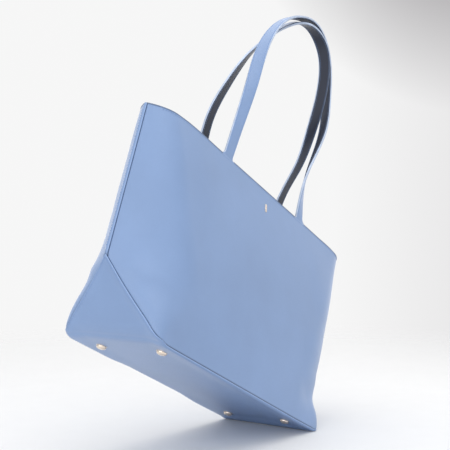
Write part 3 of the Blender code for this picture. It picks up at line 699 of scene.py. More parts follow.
def make_leather(label, side, shares, start_of, offset_of, inner_of, shade_of):
    strap = Strap(shares, side)
    z, s, end, x = wall_grid(start_of, WALL_ROWS)
    from_foot = strap_edge_distance(np.abs(x) - STRAP_X, STRAP_HALF, z - TOP_Z)
    outer = offset_of(z, s) - edge_drop(np.minimum(s - s[:, :1], s - s[:, -1:]), LAP_ROUND)
    outer -= edge_drop(from_foot, STRAP_ROUND) * rising(z, TOP_Z - 0.004, TOP_Z)
    inner_points = sheet_point(z, s, end, side, inner_of(z, s))
    held = (side * inner_points[..., 1] < MIDDLE_GAP) & (s >= 0.0)
    inner_points[..., 1] = np.where(held, side * MIDDLE_GAP, inner_points[..., 1])
    # Painted shade beside laps and a painted highlight on lap edges; the inner face keeps only the highlight.
    shade = shade_of(z, s)
    build = Builder()
    top = build.add(sheet_point(z, s, end, side, outer), shade)
    low = build.add(inner_points, np.maximum(shade, 0.0))
    build.grid(top)
    build.grid(low)
    for cut in (0, (slice(None), 0), (slice(None), -1)):
        build.strip(top[cut], low[cut])
    columns = top.shape[1]
    middle, reach = columns // 2, STRAP_START + STRAP_COLUMNS - 1
    for start, stop in ((0, middle - reach), (middle - STRAP_START, middle + STRAP_START),
                        (middle + reach, columns - 1)):
        build.strip(top[-1, start:stop + 1], low[-1, start:stop + 1], MOUTH_PAINT)
    left = np.arange(middle - reach, middle - STRAP_START + 1)[::-side]
    right = np.arange(middle + STRAP_START, middle + reach + 1)[::side]

    run, half = strap.stations()
    rise, half = strap.rise(run)[:, None], half[:, None]
    place = np.array([strap_columns(float(value)) for value in half[:, 0]])
    distance = strap_edge_distance(place, half, rise)
    drop = edge_drop(distance, STRAP_ROUND) + STRAP_CROWN * np.square(place / half)
    thick = LEATHER + (STRAP_DEPTH - LEATHER) * rising(rise, 0.0002, 0.0018)
    recess = STRAP_RECESS * rising(distance, STRAP_BORDER, STRAP_BORDER + 0.0003) * rising(rise, 0.001, 0.003)
    below = thick - recess - edge_drop(distance, STRAP_ROUND * 0.8)
    columns = STRAP_COLUMNS
    tags = [STRAP_PAINT if column < 2 or column >= columns - 3 else 0 for column in range(columns)]
    sheets = []
    for wall, depth in ((top, drop), (low, below)):
        points = build.add(strap.sheet(run, place, depth))
        sheets.append(np.concatenate((wall[-1:, left], points, wall[-1:, right])))
    for sheet in sheets:
        build.grid(sheet, tags)
    for column in (0, -1):
        build.strip(sheets[0][:, column], sheets[1][:, column], STRAP_PAINT)
    item = build.finish(label + "_leather", (blue, paint, pale))
    on_strap(item, label, side, "blue_leather", label + "_panel", label + "_handle_outer")
    return strap


def front_start(z):
    return max(gusset_width(z), LAP_PAST_FOLD) - TUCK


def front_offset(z, s):
    under_lap = falling(s - LAP_PAST_FOLD, 0.0002, 0.0012) * rising(z, 0.075, 0.085)
    return -SINK * np.maximum(covered_share(z, s), under_lap)


def front_inner(z, s):
    return -LEATHER


# Painted shade on the front wall along the base leather's edge and beside the back panel's lap.
def front_shade(z, s):
    return -np.maximum(seam_crease(z, s), crease(s - LAP_PAST_FOLD) * rising(z, 0.083, 0.087))


def back_start(z):
    return max(gusset_width(z) - TUCK, -LAP_PAST_FOLD)


def back_offset(z, s):
    cover = covered_share(z, s)
    return LAP_RISE * falling(s, 0.0, 0.005) * rising(z, 0.080, 0.090) * (1.0 - cover) - SINK * cover


def back_inner(z, s):
    past = falling(s, -0.002, 0.002) * rising(z, 0.084, 0.090)
    return -LEATHER + (LEATHER - SINK + HAIR) * past


# Painted highlight on the back panel's lap edge, and painted shade on the wall along the base leather's edge.
def back_shade(z, s):
    edge = falling(s + LAP_PAST_FOLD, 0.0004, 0.0010) * rising(z, 0.088, 0.090)
    return edge - seam_crease(z, s) * (1.0 - edge)


front_strap = make_leather("front", -1, FRONT_ROUTE, front_start, front_offset, front_inner, front_shade)
back_strap = make_leather("back", 1, BACK_ROUTE, back_start, back_offset, back_inner, back_shade)


# Base leather: bottom and the triangle turned up at each end

RING_SHARES = (0.03, 0.07, 0.11, 0.16, 0.22, 0.28, 0.35, 0.44, 0.56, 0.75, 1.0)
RING_END_X = 0.103


def base_rise(distance, z):
    """How far the base leather stands off the skin, near its cut edge."""
    return LAP_RISE * falling(distance, 0.003, 0.015) * rising(z, FLOOR_Z, FLOOR_Z + 0.003)


def make_base_leather():
    whole = half_run(FLOOR_Z)
    quarter = np.concatenate((np.linspace(0.0, GUSSET_HALF - 0.004, 24),
                              np.linspace(GUSSET_HALF - 0.002, GUSSET_HALF + 0.016, 13),
                              np.linspace(GUSSET_HALF + 0.022, whole, 22)))
    count = len(quarter)
    s = np.concatenate((quarter, quarter[-2::-1], quarter[1:], quarter[-2:0:-1]))
    end = np.repeat((1.0, -1.0, 1.0), (count, 2 * count - 2, count - 2))
    side = np.repeat((-1.0, 1.0), (2 * count - 1, 2 * count - 3))
    edge_z = seam_height(s)
    middle_z = FLOOR_Z + np.minimum(END_FOLD, (edge_z - FLOOR_Z) * 0.6)
    span = edge_z - middle_z
    down = [np.minimum(step, span * share) for step, share in (
        (0.0, 0.0), (0.00015, 0.05), (0.0004, 0.12), (0.0008, 0.2), (0.0014, 0.3), (0.0024, 0.4))]
    last = down[-1]
    down += [last + (span - last) * share for share in np.linspace(0.0, 1.0, 19)[1:]]
    turn = np.linspace(0.0, math.pi / 2, 9)[1:]
    heights = [edge_z - step for step in down]
    heights += [FLOOR_Z + (middle_z - FLOOR_Z) * (1.0 - math.sin(angle)) for angle in turn]
    z = np.maximum(np.array(heights), FLOOR_Z)
    share = (half_runs(z) - GUSSET_HALF) / (whole - GUSSET_HALF)
    runs = np.where(s > GUSSET_HALF, GUSSET_HALF + (s - GUSSET_HALF) * share, s)
    distance = edge_z - z
    rise = base_rise(distance, z)
    # Painted highlight along the base leather's cut edge, on both its faces.
    shade = falling(distance, 0.0004, 0.0011)
    outer = sheet_point(z, runs, end, side, rise - edge_drop(distance, LAP_ROUND))
    inner = sheet_point(z, runs, end, side, rise - LAP_THICKNESS - HAIR)
    inner[..., 2] = np.maximum(inner[..., 2], outer[-1, :, 2] + LAP_THICKNESS)
    floor_row = skin(z[-1], runs[-1], end, side)
    target = floor_row * (1.0, 0.0, 1.0)
    target[:, 0] = np.clip(target[:, 0], -RING_END_X, RING_END_X)
    shares = np.array(RING_SHARES)[:, None, None]
    rings = settle(floor_row + (target - floor_row) * shares)
    inner_rings = rings + (0.0, 0.0, LAP_THICKNESS)
    inner_rings[..., :2] -= (1.0 - shares) * (outer[-1] - inner[-1])[:, :2]
    shade = np.concatenate((shade, np.zeros(rings.shape[:2])))
    build = Builder()
    top = build.add(np.concatenate((outer, rings)), shade)
    low = build.add(np.concatenate((inner, inner_rings)), shade)
    build.grid(top, close_columns=True)
    build.grid(low, close_columns=True)
    build.strip(np.append(top[0], top[0, 0]), np.append(low[0], low[0, 0]))
    item = build.finish("base_leather", (blue,), weld=0.000002)
    on_bag(item, "blue_leather", "base_gusset")
    return item


base_leather = make_base_leather()


# Painted edge round the mouth, between the straps

def make_mouth_edge():
    build = Builder()
    foot = STRAP_HALF + FILLET - 0.0006
    whole = half_run(TOP_Z)
    lip, crest, spill, lip_spill = 0.0014, 0.0005, 0.00018, 0.00012
    half = STRAP_DEPTH / 2 + spill
    profile = [(lip_spill, -lip), (spill, -lip * 0.5)]
    profile += [(spill - half * (1.0 - math.cos(angle)), crest * math.sin(angle))
                for angle in np.linspace(0.0, math.pi, 13)]
    profile += [(-STRAP_DEPTH - spill, -lip * 0.5), (-STRAP_DEPTH - lip_spill, -lip)]

    def sweep(s, end, side):
        points = skin(TOP_Z, s, end, side)
        normal = unit(skin_normals(TOP_Z, s, end, side) * (1.0, 1.0, 0.0))
        own = side * np.sign(s)
        rows = []
        for offset, lift in profile:
            row = points + normal * offset
            row[:, 1] = own * np.maximum(own * row[:, 1], 0.0)
            row[:, 2] += lift
            if lift < -0.0001:
                row[:, 1] -= np.sign(row[:, 1]) * lift * 0.28
            rows.append(settle(row))
        build.loft(np.array(rows).transpose(1, 0, 2))

    for end in (-1.0, 1.0):
        far = np.concatenate((np.linspace(whole - STRAP_X - foot, 0.004, 60), (0.0025, 0.0012, 0.0004)))
        sweep(np.concatenate((far, -far[::-1])), end, -1.0)
    x = np.linspace(foot - STRAP_X, STRAP_X - foot, 60)
    for side in (-1.0, 1.0):
        sweep(whole - np.abs(x), np.where(x < 0, -1.0, 1.0), side)
    on_bag(build.finish("mouth_edge_paint", (paint,), sharp=60.0), "blue_leather")


make_mouth_edge()


# Dark backing of each strap, carried down inside the mouth as two tabs

TAB_STEPS = (0.0375, 0.0373, 0.0368, 0.036, 0.034, 0.030, 0.024, 0.018, 0.012, 0.007, 0.004, 0.002, 0.0006)
BACKING_DEPTH = 0.0006
BACKING_FOOT = 0.0015
BACKING_START = 0.0004


def make_backing(label, strap, side):
    run, _ = strap.stations()
    run = run[strap.rise(run) > BACKING_START]
    width = STRAP_HALF - STRAP_BORDER
    place = spaced(-width, width, (0.0, 0.0002, 0.0006, 0.0014), 0.003, 5)
    roundness = edge_drop(width - np.abs(place), 0.0003)
    deep = STRAP_DEPTH - 0.00003 + BACKING_FOOT * falling(strap.rise(run), 0.0005, 0.0075)[:, None]
    inner = [strap.sheet(run, place, deep - roundness)]
    outer = [strap.sheet(run, place, deep - BACKING_DEPTH)]
    heights = TOP_Z - np.array(TAB_STEPS)[:, None]
    depth = FACING_INNER + HAIR + TAB_DEPTH - edge_drop(heights - heights[0], 0.0006) - roundness
    for sign in (-1, 1):
        x = sign * (STRAP_X + side * place)
        for sheets, tab_depth in ((inner, depth), (outer, FACING_INNER + HAIR)):
            tab = wall_points(heights, x, side, tab_depth)
            sheets.insert(0 if sign < 0 else 2, tab[::-sign])
    build = Builder()
    build.block(np.concatenate(inner), np.concatenate(outer))
    item = build.finish(label + "_strap_backing", (navy,))
    on_strap(item, label, side, "navy_leather", label + "_handle_core", label + "_handle_backing",
             "handle_anchor_" + label + "_left", "handle_anchor_" + label + "_right")


make_backing("front", front_strap, -1)
make_backing("back", back_strap, 1)


# Leather facing and lining inside

INSIDE_PASS = 0.0003
INSIDE_CLEAR = 0.0021
WRINKLE = 0.0005


def inside_start(z):
    """The front and back sheets pass each other above the gusset, and stay clear of its flaps below."""
    return gusset_width(z) + INSIDE_CLEAR * falling(z, SHOULDER_Z - 0.002, SHOULDER_Z + 0.002) - INSIDE_PASS


def inside_sheet(name, slot, material, side, low, high, inner, node_name, wrinkle=0.0):
    rows = spaced(low, high, (0.0, 0.0003, 0.001), 0.003, max(int((high - low) / 0.006), 6))
    z, s, end, x = wall_grid(inside_start, rows)
    ripple = wrinkle * (np.sin(x * 61.0 + z * 23.0) * np.sin(z * 47.0 - x * 19.0) + 1.0) / 2
    if side > 0:
        ripple *= rising(np.abs(x), 0.105, 0.135)
    build = Builder()
    build.block(sheet_point(z, s, end, side, edge_drop(z - low, 0.0005) - inner - ripple),
                sheet_point(z, s, end, side, -FACING_INSET))
    on_bag(build.finish(name, (material,)), slot, node_name)


for label, side in (("front", -1), ("back", 1)):
    inside_sheet(label + "_mouth_facing", "blue_leather", blue, side, FACING_Z, TOP_Z - 0.0004, FACING_INNER,
                 label + "_facing")
    inside_sheet(label + "_wall_lining", "navy_lining", lining, side, LINING_Z + 0.001, FACING_Z - 0.0003,
                 LINING_INNER, label + "_lining", WRINKLE)


# Hardware

FOOT_X = 0.14
FOOT_Y = 0.04725


def turned(name, profile, place, axis, *nodes):
    """A profile of (radius, height) turned about an axis through a place."""
    angle = circle(48)
    frame_z = Vector(axis).normalized()
    frame_x = Vector((1.0, 0.0, 0.0))
    frame_x = (frame_x - frame_z * frame_x.dot(frame_z)).normalized()
    spokes = np.outer(np.cos(angle), frame_x) + np.outer(np.sin(angle), frame_z.cross(frame_x))
    build = Builder()
    build.loft([spokes * max(radius, 1e-6) + np.array(frame_z) * height + np.array(place)
                for radius, height in profile])
    on_bag(build.finish(name, (gold,), sharp=35.0, weld=0.000005), "gold_metal", *nodes)


def foot_profile():
    high, pad, wide = FLOOR_Z, 0.0012, 0.0064
    dome = [(0.0, 0.0), (pad, 0.0)]
    for angle in np.linspace(0.0, math.pi / 2, 17)[1:]:
        dome.append((pad + (wide - pad) * math.sin(angle) ** 0.9,
                     (high - 0.0005) * (1.0 - max(math.cos(angle), 0.0) ** 0.8)))
    return dome + [(wide + 0.0001, high - 0.0004), (wide + 0.0005, high - 0.0003),
                   (wide + 0.0006, high - 0.00015), (wide + 0.0004, high - 0.00002), (0.0, high - 0.00002)]


def plain_node(name, material):
    """Gives a node of the solids that shows as it is its material."""
    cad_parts[name].data.materials.clear()
    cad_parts[name].data.materials.append(material)


plain_node("base_board", board)
for label_y, y in (("front", -FOOT_Y), ("back", FOOT_Y)):
    for label_x, x in (("left", -FOOT_X), ("right", FOOT_X)):
        corner = label_y + "_" + label_x
        turned("dome_foot_" + corner, foot_profile(), (x, y, 0.0), (0, 0, 1), "foot_" + corner)
        plain_node("washer_" + corner, gold)


# Lining floor with the ends that rise from it

LINING_THICKNESS = 0.0007
LINING_PUFF = 0.00025
FLAP_LOW = (0.019, 0.0165, 0.0145, 0.0130)
FLAP_MARGIN = 0.0016
FLAP_INSET = 0.0062
FLAP_RISE = 0.0012


def make_lining_floor():
    across = np.linspace(-1.0, 1.0, 37)
    heights = np.concatenate((np.linspace(SHOULDER_Z + 0.002, 0.022, 24), FLAP_LOW))
    reach = end_reach(heights[-1]) - FLAP_INSET
    x, y = np.meshgrid(spaced(-reach, reach, (0.0012,), 0.005, 44),
                       across * (half_depth(0.0110) - FACING_INSET), indexing="ij")
    near = rising(np.abs(x), reach - 0.004, reach)
    rise = LINING_PUFF * (np.sin(x * 47.0 + y * 31.0) * np.sin(y * 58.0 - x * 21.0) + 1.0) * (1.0 - near)
    rise += FLAP_RISE * near

    def sheet(depth):
        blocks = [np.stack((x, y, LINING_Z - LINING_THICKNESS + depth + rise), axis=-1)]
        for end, levels, place in ((-1.0, heights, 0), (1.0, heights[::-1], 2)):
            flap = [sheet_point(z, across * (gusset_width(z) + FLAP_MARGIN), end, -1.0, -FACING_INSET - depth)
                    for z in levels]
            blocks.insert(place, np.array(flap))
        return np.concatenate([block if block[-1, -1, 1] > 0.0 else block[:, ::-1] for block in blocks])

    build = Builder()
    build.block(sheet(LINING_THICKNESS), sheet(0.0))
    on_bag(build.finish("lining_floor", (lining,), sharp=60.0), "navy_lining", "lining_base")


make_lining_floor()


# Pocket on the back lining

POCKET_HALF = 0.100
POCKET_LOW = 0.1125
POCKET_HIGH = 0.2255
POCKET_OUTER = 0.0029
POCKET_INNER = 0.0044
POCKET_SEAM = 0.0032
POCKET_EDGE = 0.0009
POCKET_SLACK = 0.0007


def make_pocket():
    fine = (0.0, 0.0002, 0.0006, 0.0013)
    z, x = np.meshgrid(spaced(POCKET_LOW, POCKET_HIGH, fine, 0.004, 26),
                       spaced(-POCKET_HALF, POCKET_HALF, fine, 0.004, 40), indexing="ij")
    edge = np.minimum(POCKET_HALF - np.abs(x), np.minimum(z - POCKET_LOW, POCKET_HIGH - z))
    puff = rising(edge, 0.004, 0.024) * falling(z, 0.170, 0.200)
    puff *= POCKET_SLACK + 0.0005 * np.sin(x * 43.0 + 1.0) * np.sin(z * 71.0)
    seam = 0.0003 * np.exp(-np.square((edge - POCKET_SEAM) / 0.0012))
    build = Builder()
    build.block(wall_points(z, x, 1.0, POCKET_INNER + puff - seam - edge_drop(edge, POCKET_EDGE)),
                wall_points(z, x, 1.0, POCKET_OUTER))
    on_bag(build.finish("pocket_cloth", (lining,)), "navy_lining", "pocket")


make_pocket()


# Zip: welt, tape, teeth, slider and pull

ZIP_PLACE = np.array((0.0, 0.037848, 0.212))
ZIP_LEAN = math.atan2(0.001524, 0.006524)
ZIP_IN = np.array((0.0, -math.cos(ZIP_LEAN), -math.sin(ZIP_LEAN)))
ZIP_UP = np.array((0.0, -math.sin(ZIP_LEAN), math.cos(ZIP_LEAN)))
OPENING_HALF = 0.088
OPENING_RISE = 0.004
WELT_WIDTH = 0.004
WELT_TOP = 0.00153
LAYER = 0.0003
TAPE_TOP = 0.0011
TEETH_TOP = 0.0019
TEETH_INSET = 0.004
TOOTH_PITCH = 0.0014
STOP_INSET = 0.0022
SLIDER_X = 0.080
SLIDER_LOW = 0.0022
SLIDER_TOP = 0.0048
BAR_RISE = 0.0067
BAR_RADIUS = 0.0007
POST_X = 0.0037
PULL_HINGE = np.array((0.08, 0.031324, 0.210476))

# Growth and rise of the welt's rings
WELT_RINGS = ((0.0, LAYER), (0.0, 0.0010), (0.00015, 0.00132), (0.0006, 0.0015), (0.0020, WELT_TOP),
              (0.0033, 0.0015), (0.0037, 0.00135), (WELT_WIDTH - 0.00005, 0.0010), (WELT_WIDTH, LAYER))
# Half of the tape's section, and how far below its top it lies, in tenths of a millimetre
TAPE_UP = (0.0004, 0.0012, 0.0024, 0.0028, 0.0036, 0.0038)
TAPE_DROP = (4, 0, 1, 0, 1, 3)
# Reach, half width and drop below the top of a tooth's rings
TOOTH_RINGS = ((-0.0008, 0.00030, 0.0003), (-0.0005, 0.00048, 0.0001), (0.0004, 0.00045, 0.0),
               (0.0015, 0.00050, 0.0001), (0.0019, 0.00040, 0.0003))
TOOTH_LOOP = np.array(((-1, 0), (-1, 0.6), (-0.6, 1), (0.6, 1), (1, 0.6), (1, 0)), float)
# Scale, rise and narrowing of the slider's rings, above its low plate and its top
SLIDER_FOOT = ((0.86, 0.0, 0.0), (0.97, 0.00015, 0.0), (1.0, 0.0004, 0.0), (0.98, 0.0007, 0.0),
               (0.86, 0.0009, 0.08))
SLIDER_HEAD = ((0.84, -0.0010, 0.08), (0.97, -0.0008, 0.0), (1.0, -0.0005, 0.0), (0.97, -0.0002, 0.0),
               (0.88, 0.0, 0.0), (0.5, 0.00005, 0.0))
# Rise, half length and half width of a post's rings
POST_RINGS = ((SLIDER_TOP - 0.0006, 0.0007, 0.0013), (SLIDER_TOP + 0.0003, 0.00055, 0.0010),
              (BAR_RISE - 0.0003, 0.0005, 0.0009), (BAR_RISE + 0.0004, 0.0005, 0.0007),
              (BAR_RISE + 0.0007, 0.0003, 0.0004))
# Place and radius of the rings round the pull's eye, and how far down its tab's rings lie
EYE_RINGS = ((0.0024, 0.00085), (0.0025, 0.0010), (0.0025, 0.0014), (0.0023, 0.0017), (0.0012, 0.00165))
TAB_DOWNS = (0.0012, 0.0022, 0.0040, 0.0065, 0.0095, 0.0125, 0.0155, 0.0180, 0.0200, 0.0215, 0.0226, 0.0234,
             0.0238, 0.024)


def on_zip(x, up, rise):
    x, up, rise = np.broadcast_arrays(x, up, rise)
    return (ZIP_PLACE + x[..., None] * np.array((1.0, 0.0, 0.0)) + up[..., None] * ZIP_UP
            + rise[..., None] * ZIP_IN)


def rounded_loop(half_x, half_y, radius, corner_steps=6, side_steps=24):
    """A closed loop round a rectangle with round corners: places along x and y."""
    arcs = []
    for corner, signs in enumerate(((1, 1), (-1, 1), (-1, -1), (1, -1))):
        angle = (corner + np.arange(corner_steps + 1) / corner_steps) * math.pi / 2
        middle = np.array(signs) * (half_x - radius, half_y - radius)
        arcs.append(middle + radius * np.stack((np.cos(angle), np.sin(angle)), axis=1))
    loop = []
    for corner, arc in enumerate(arcs):
        steps = 3 if corner % 2 else side_steps
        share = (np.arange(1, steps) / steps)[:, None]
        loop += [arc, arc[-1] + (arcs[(corner + 1) % 4][0] - arc[-1]) * share]
    return np.concatenate(loop).T


def squared_circle(count, *powers):
    waves = np.cos(circle(count)), np.sin(circle(count))
    return [np.sign(wave) * np.abs(wave) ** power for wave, power in zip(waves, powers)]


def zip_rings(x, shapes, corner_steps=6, side_steps=24):
    """Rings round a place on the zip; each shape is rise, half length, half width and corner radius."""
    rings = []
    for rise, *shape in shapes:
        along, up = rounded_loop(*shape, corner_steps, side_steps)
        rings.append(on_zip(x + along, up, rise))
    return rings


def make_welt():
    build = Builder()
    rings = zip_rings(0.0, [(rise, OPENING_HALF + grow, OPENING_RISE + grow, 0.0010 + grow * 0.5)
                            for grow, rise in WELT_RINGS])
    build.grid(build.add(rings), close_rows=True, close_columns=True)
    on_bag(build.finish("welt_frame", (blue,), sharp=60.0), "blue_leather", "pocket_welt")


def make_tape():
    build = Builder()
    half = OPENING_HALF - LAYER
    up, drop = np.array(TAPE_UP), np.array(TAPE_DROP)
    rise = TAPE_TOP - 0.0001 * np.concatenate((drop[::-1], drop))
    x, up = np.meshgrid(np.linspace(-half, half, 90), np.concatenate((-up[::-1], up)), indexing="ij")
    build.block(on_zip(x, up, rise + 0.00006 * np.sin(x * 900.0)), on_zip(x, up, LAYER))
    low = TAPE_TOP - 0.0003
    for tooth in range(int(2 * (OPENING_HALF - TEETH_INSET) / TOOTH_PITCH)):
        sign = 1.0 if tooth % 2 else -1.0
        middle = -OPENING_HALF + TEETH_INSET + tooth * TOOTH_PITCH
        build.loft([on_zip(middle + TOOTH_LOOP[:, 0] * wide, sign * reach,
                           low + TOOTH_LOOP[:, 1] * (TEETH_TOP - drop - low))
                    for reach, wide, drop in TOOTH_RINGS], 1)
    stop = [(rise, 0.0010 - shrink, 0.0022 - shrink, 0.0005)
            for rise, shrink in ((low, 0.0), (TEETH_TOP - 0.0002, 0.0), (TEETH_TOP, 0.0003))]
    for x in (STOP_INSET - OPENING_HALF, OPENING_HALF - STOP_INSET):
        build.loft(zip_rings(x, stop, 4, 3), 2)
    on_bag(build.finish("tape_with_teeth", (tape, teeth, gold), sharp=45.0), "dark_tape", "zip_tape")


def make_slider():
    build = Builder()
    across, upward = squared_circle(48, 0.55, 0.55)
    taper = 0.83 + 0.17 * rising(across, -0.4, 0.6)
    half_long, half_wide = 0.005, 0.004
    build.loft([on_zip(SLIDER_X + half_long * scale * across, half_wide * scale * (taper - narrow) * upward,
                       level + rise)
                for level, plates in ((SLIDER_LOW, SLIDER_FOOT), (SLIDER_TOP, SLIDER_HEAD))
                for scale, rise, narrow in plates])
    post = [(rise, long, wide, long * 0.6) for rise, long, wide in POST_RINGS]
    for x in (SLIDER_X - POST_X, SLIDER_X + POST_X):
        build.loft(zip_rings(x, post, 4, 2))
    angle = circle(24)
    build.loft([on_zip(SLIDER_X + x, BAR_RADIUS * np.cos(angle), BAR_RISE + BAR_RADIUS * np.sin(angle))
                for x in np.linspace(-POST_X, POST_X, 5)])
    on_bag(build.finish("slider_body", (gold,), sharp=40.0), "gold_metal", "zip_slider", body="zip_slider")


def make_pull():
    build = Builder()
    angle = circle(32)
    eye = [(-x, radius) for x, radius in EYE_RINGS] + [(0.0, 0.0017)] + list(EYE_RINGS[::-1])
    rings = [PULL_HINGE + np.stack((np.full(32, x), radius * np.cos(angle), radius * np.sin(angle)), axis=1)
             for x, radius in eye]
    build.grid(build.add(rings), close_rows=True, close_columns=True)
    across, deep = squared_circle(28, 0.5, 0.6)
    tab = []
    for down in TAB_DOWNS:
        waist = 0.0025 - 0.0007 * math.exp(-((down - 0.0070) / 0.0040) ** 2)
        closing = math.sqrt(max(1.0 - (max(down - 0.0215, 0.0) / 0.0026) ** 2, 0.0))
        rim = 0.0006 - 0.0001 * math.exp(-((down - 0.0150) / 0.0045) ** 2)
        tab.append(PULL_HINGE + np.stack((waist * closing * across, rim * max(closing, 0.5) * deep,
                                          np.full(28, -down)), axis=1))
    build.loft(tab)
    on_bag(build.finish("pull_tab", (gold,), sharp=40.0), "gold_metal", "zip_pull", body="zip_pull")


make_welt()
make_tape()
make_slider()
make_pull()


# Magnetic closure and the plate below the mouth

SNAP_Z = 0.260
SNAP_RADIUS = 0.009
SNAP_RIM = ((0.0, 0.0), (SNAP_RADIUS - 0.0003, 0.0), (SNAP_RADIUS, 0.0003), (SNAP_RADIUS, 0.0009),
            (SNAP_RADIUS - 0.0006, 0.0014), (0.0074, 0.0015), (0.0071, 0.0013), (0.0066, 0.0013),
            (0.0063, 0.0017))
SNAP_STUD = ((0.0056, 0.0020), (0.0046, 0.0020), (0.0042, 0.0022), (0.0040, 0.0030), (0.0036, 0.0034),
             (0.0012, 0.0034), (0.0009, 0.0031), (0.0, 0.0031))
SNAP_SOCKET = ((0.0058, 0.0020), (0.0048, 0.0020), (0.0045, 0.0018), (0.0043, 0.0008), (0.0040, 0.0006),
               (0.0010, 0.0006), (0.0, 0.0006))
PLATE_RINGS = ((0.0, 0.0002), (0.0, -0.0006), (0.00008, -0.00085), (0.0003, -0.00105), (0.0006, -0.00115),
               (0.0010, -0.0012))

for label, side, inside in (("stud", -1.0, SNAP_STUD), ("socket", 1.0, SNAP_SOCKET)):
    level = np.array([SNAP_Z])
    seat = wall_points(level, 0.0, side, FACING_INNER - HAIR)[0]
    normal = skin_normals(level, half_runs(level), 1.0, side)[0]
    turned("magnet_" + label, SNAP_RIM + inside, seat, -normal, "snap_" + label)


def make_badge():
    low, high = [np.array(corner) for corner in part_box("front_plate")]
    half_x, _, half_z = (high - low) / 2
    middle, widest_round = (high[2] + low[2]) / 2, 0.0016
    rings = []
    for shrink, depth in PLATE_RINGS:
        radius = min(half_x - shrink, widest_round) * 0.98
        x, up = rounded_loop(half_x - shrink, half_z - shrink, radius, 8, 4)
        rings.append(wall_points(middle + up, x, -1.0, depth))
    build = Builder()
    build.loft(rings)
    on_bag(build.finish("plate_bar", (gold,), sharp=40.0), "gold_metal", "front_plate")


make_badge()


# Stitches

STITCH_PITCH = 0.0034
STITCH_LENGTH = 0.0026
STITCH_RADIUS = 0.00024
STITCH_INSET = 0.0022
STITCH_SHAPE = ((0.0, -0.9, 0.55), (0.22, 0.35, 1.0), (0.78, 0.35, 1.0), (1.0, -0.9, 0.55))


def stitch_line(build, points, normals, margin=0.002):
    """Short stitches along a line on a surface, each dipping into it at both ends."""
    run = runs_along(points)
    count = int((run[-1] - 2 * margin) / STITCH_PITCH)
    if count < 1:
        return
    share, lift, thick = np.array(STITCH_SHAPE).T
    first = (run[-1] - count * STITCH_PITCH) / 2 + (STITCH_PITCH - STITCH_LENGTH) / 2
    start = first + STITCH_PITCH * np.arange(count)
    at = start[:, None] + STITCH_LENGTH * share
    normal = unit(sampled(normals, run, at))
    forward = sampled(points, run, start + STITCH_LENGTH) - sampled(points, run, start)
    beside = unit(np.cross(normal, forward[:, None]))
    centre = sampled(points, run, at) + normal * (lift * STITCH_RADIUS)[:, None]
    angle = circle(6)[:, None]
    spokes = np.cos(angle) * beside[:, :, None] + np.sin(angle) * normal[:, :, None]
    for stitch in centre[:, :, None] + (thick * STITCH_RADIUS)[:, None, None] * spokes:
        build.loft(stitch)


def skin_stitches(build, z, s, end, side, offset, outward=1.0):
    z, s = np.broadcast_arrays(z, s)
    normals = skin_normals(z, s, end, side) * outward
    stitch_line(build, sheet_point(z, s, end, side, offset), normals)


def wall_stitches(build, z, x, side, depth, outward=-1.0):
    z, x = np.broadcast_arrays(z, x)
    skin_stitches(build, z, half_runs(z) - np.abs(x), np.where(x < 0.0, -1.0, 1.0), side, -depth, outward)


def make_bag_stitches():
    build = Builder()
    mouth_z, inner_end = TOP_Z - 0.0032, 0.208
    strap_in, strap_out = STRAP_X - STRAP_HALF - 0.0015, STRAP_X + STRAP_HALF + 0.0015
    for side in (-1.0, 1.0):
        wall_stitches(build, mouth_z, np.arange(-0.231, 0.2311, 0.003), side, 0.0, 1.0)
        wall_stitches(build, FACING_Z + 0.0022, np.arange(-inner_end, inner_end + 0.0001, 0.003), side,
                      FACING_INNER)
        for low, high in ((-inner_end, -strap_out), (-strap_in, strap_in), (strap_out, inner_end)):
            wall_stitches(build, mouth_z, np.arange(low, high, 0.003), side, FACING_INNER)
    far = half_run(WALL_ROWS[0])
    seam_s = np.concatenate((np.linspace(-far, -GUSSET_HALF - 0.004, 60),
                             np.linspace(-GUSSET_HALF, GUSSET_HALF, 140),
                             np.linspace(GUSSET_HALF + 0.004, far, 60)))
    inset = 0.0018 + 0.0014 * falling(np.abs(seam_s), GUSSET_HALF - 0.03, GUSSET_HALF)
    seam_z = seam_height(np.abs(seam_s)) - inset
    for end in (-1.0, 1.0):
        z = np.arange(0.0925, 0.2765, 0.003)
        skin_stitches(build, z, 0.0012, end, 1.0, back_offset(z, 0.0012) + 0.00002)
        skin_stitches(build, seam_z, seam_s, end, -1.0, base_rise(inset, seam_z) + 0.00002)
    low, high = POCKET_LOW + POCKET_SEAM, POCKET_HIGH - POCKET_SEAM
    for sign in (-1, 1):
        wall_stitches(build, np.arange(low, high, 0.004), sign * (POCKET_HALF - POCKET_SEAM), 1.0,
                      POCKET_INNER - 0.0003)
    for level in (low, high):
        wall_stitches(build, level, np.arange(-POCKET_HALF + 0.004, POCKET_HALF - 0.0039, 0.004), 1.0,
                      POCKET_INNER - 0.0003)
    x, up = rounded_loop(OPENING_HALF + STITCH_INSET, OPENING_RISE + STITCH_INSET, 0.002)
    loop = on_zip(np.append(x, x[0]), np.append(up, up[0]), WELT_TOP)
    stitch_line(build, loop, np.tile(ZIP_IN, (len(loop), 1)), 0.0)
    tab_z, half = np.arange(TOP_Z - 0.036, TOP_Z - 0.003, 0.003), STRAP_HALF - STITCH_INSET
    for side in (-1.0, 1.0):
        for x in (-STRAP_X - half, half - STRAP_X, STRAP_X - half, STRAP_X + half):
            wall_stitches(build, tab_z, x, side, FACING_INNER + HAIR + TAB_DEPTH)
    on_bag(build.finish("body_stitches", (thread,), sharp=80.0), "blue_leather")


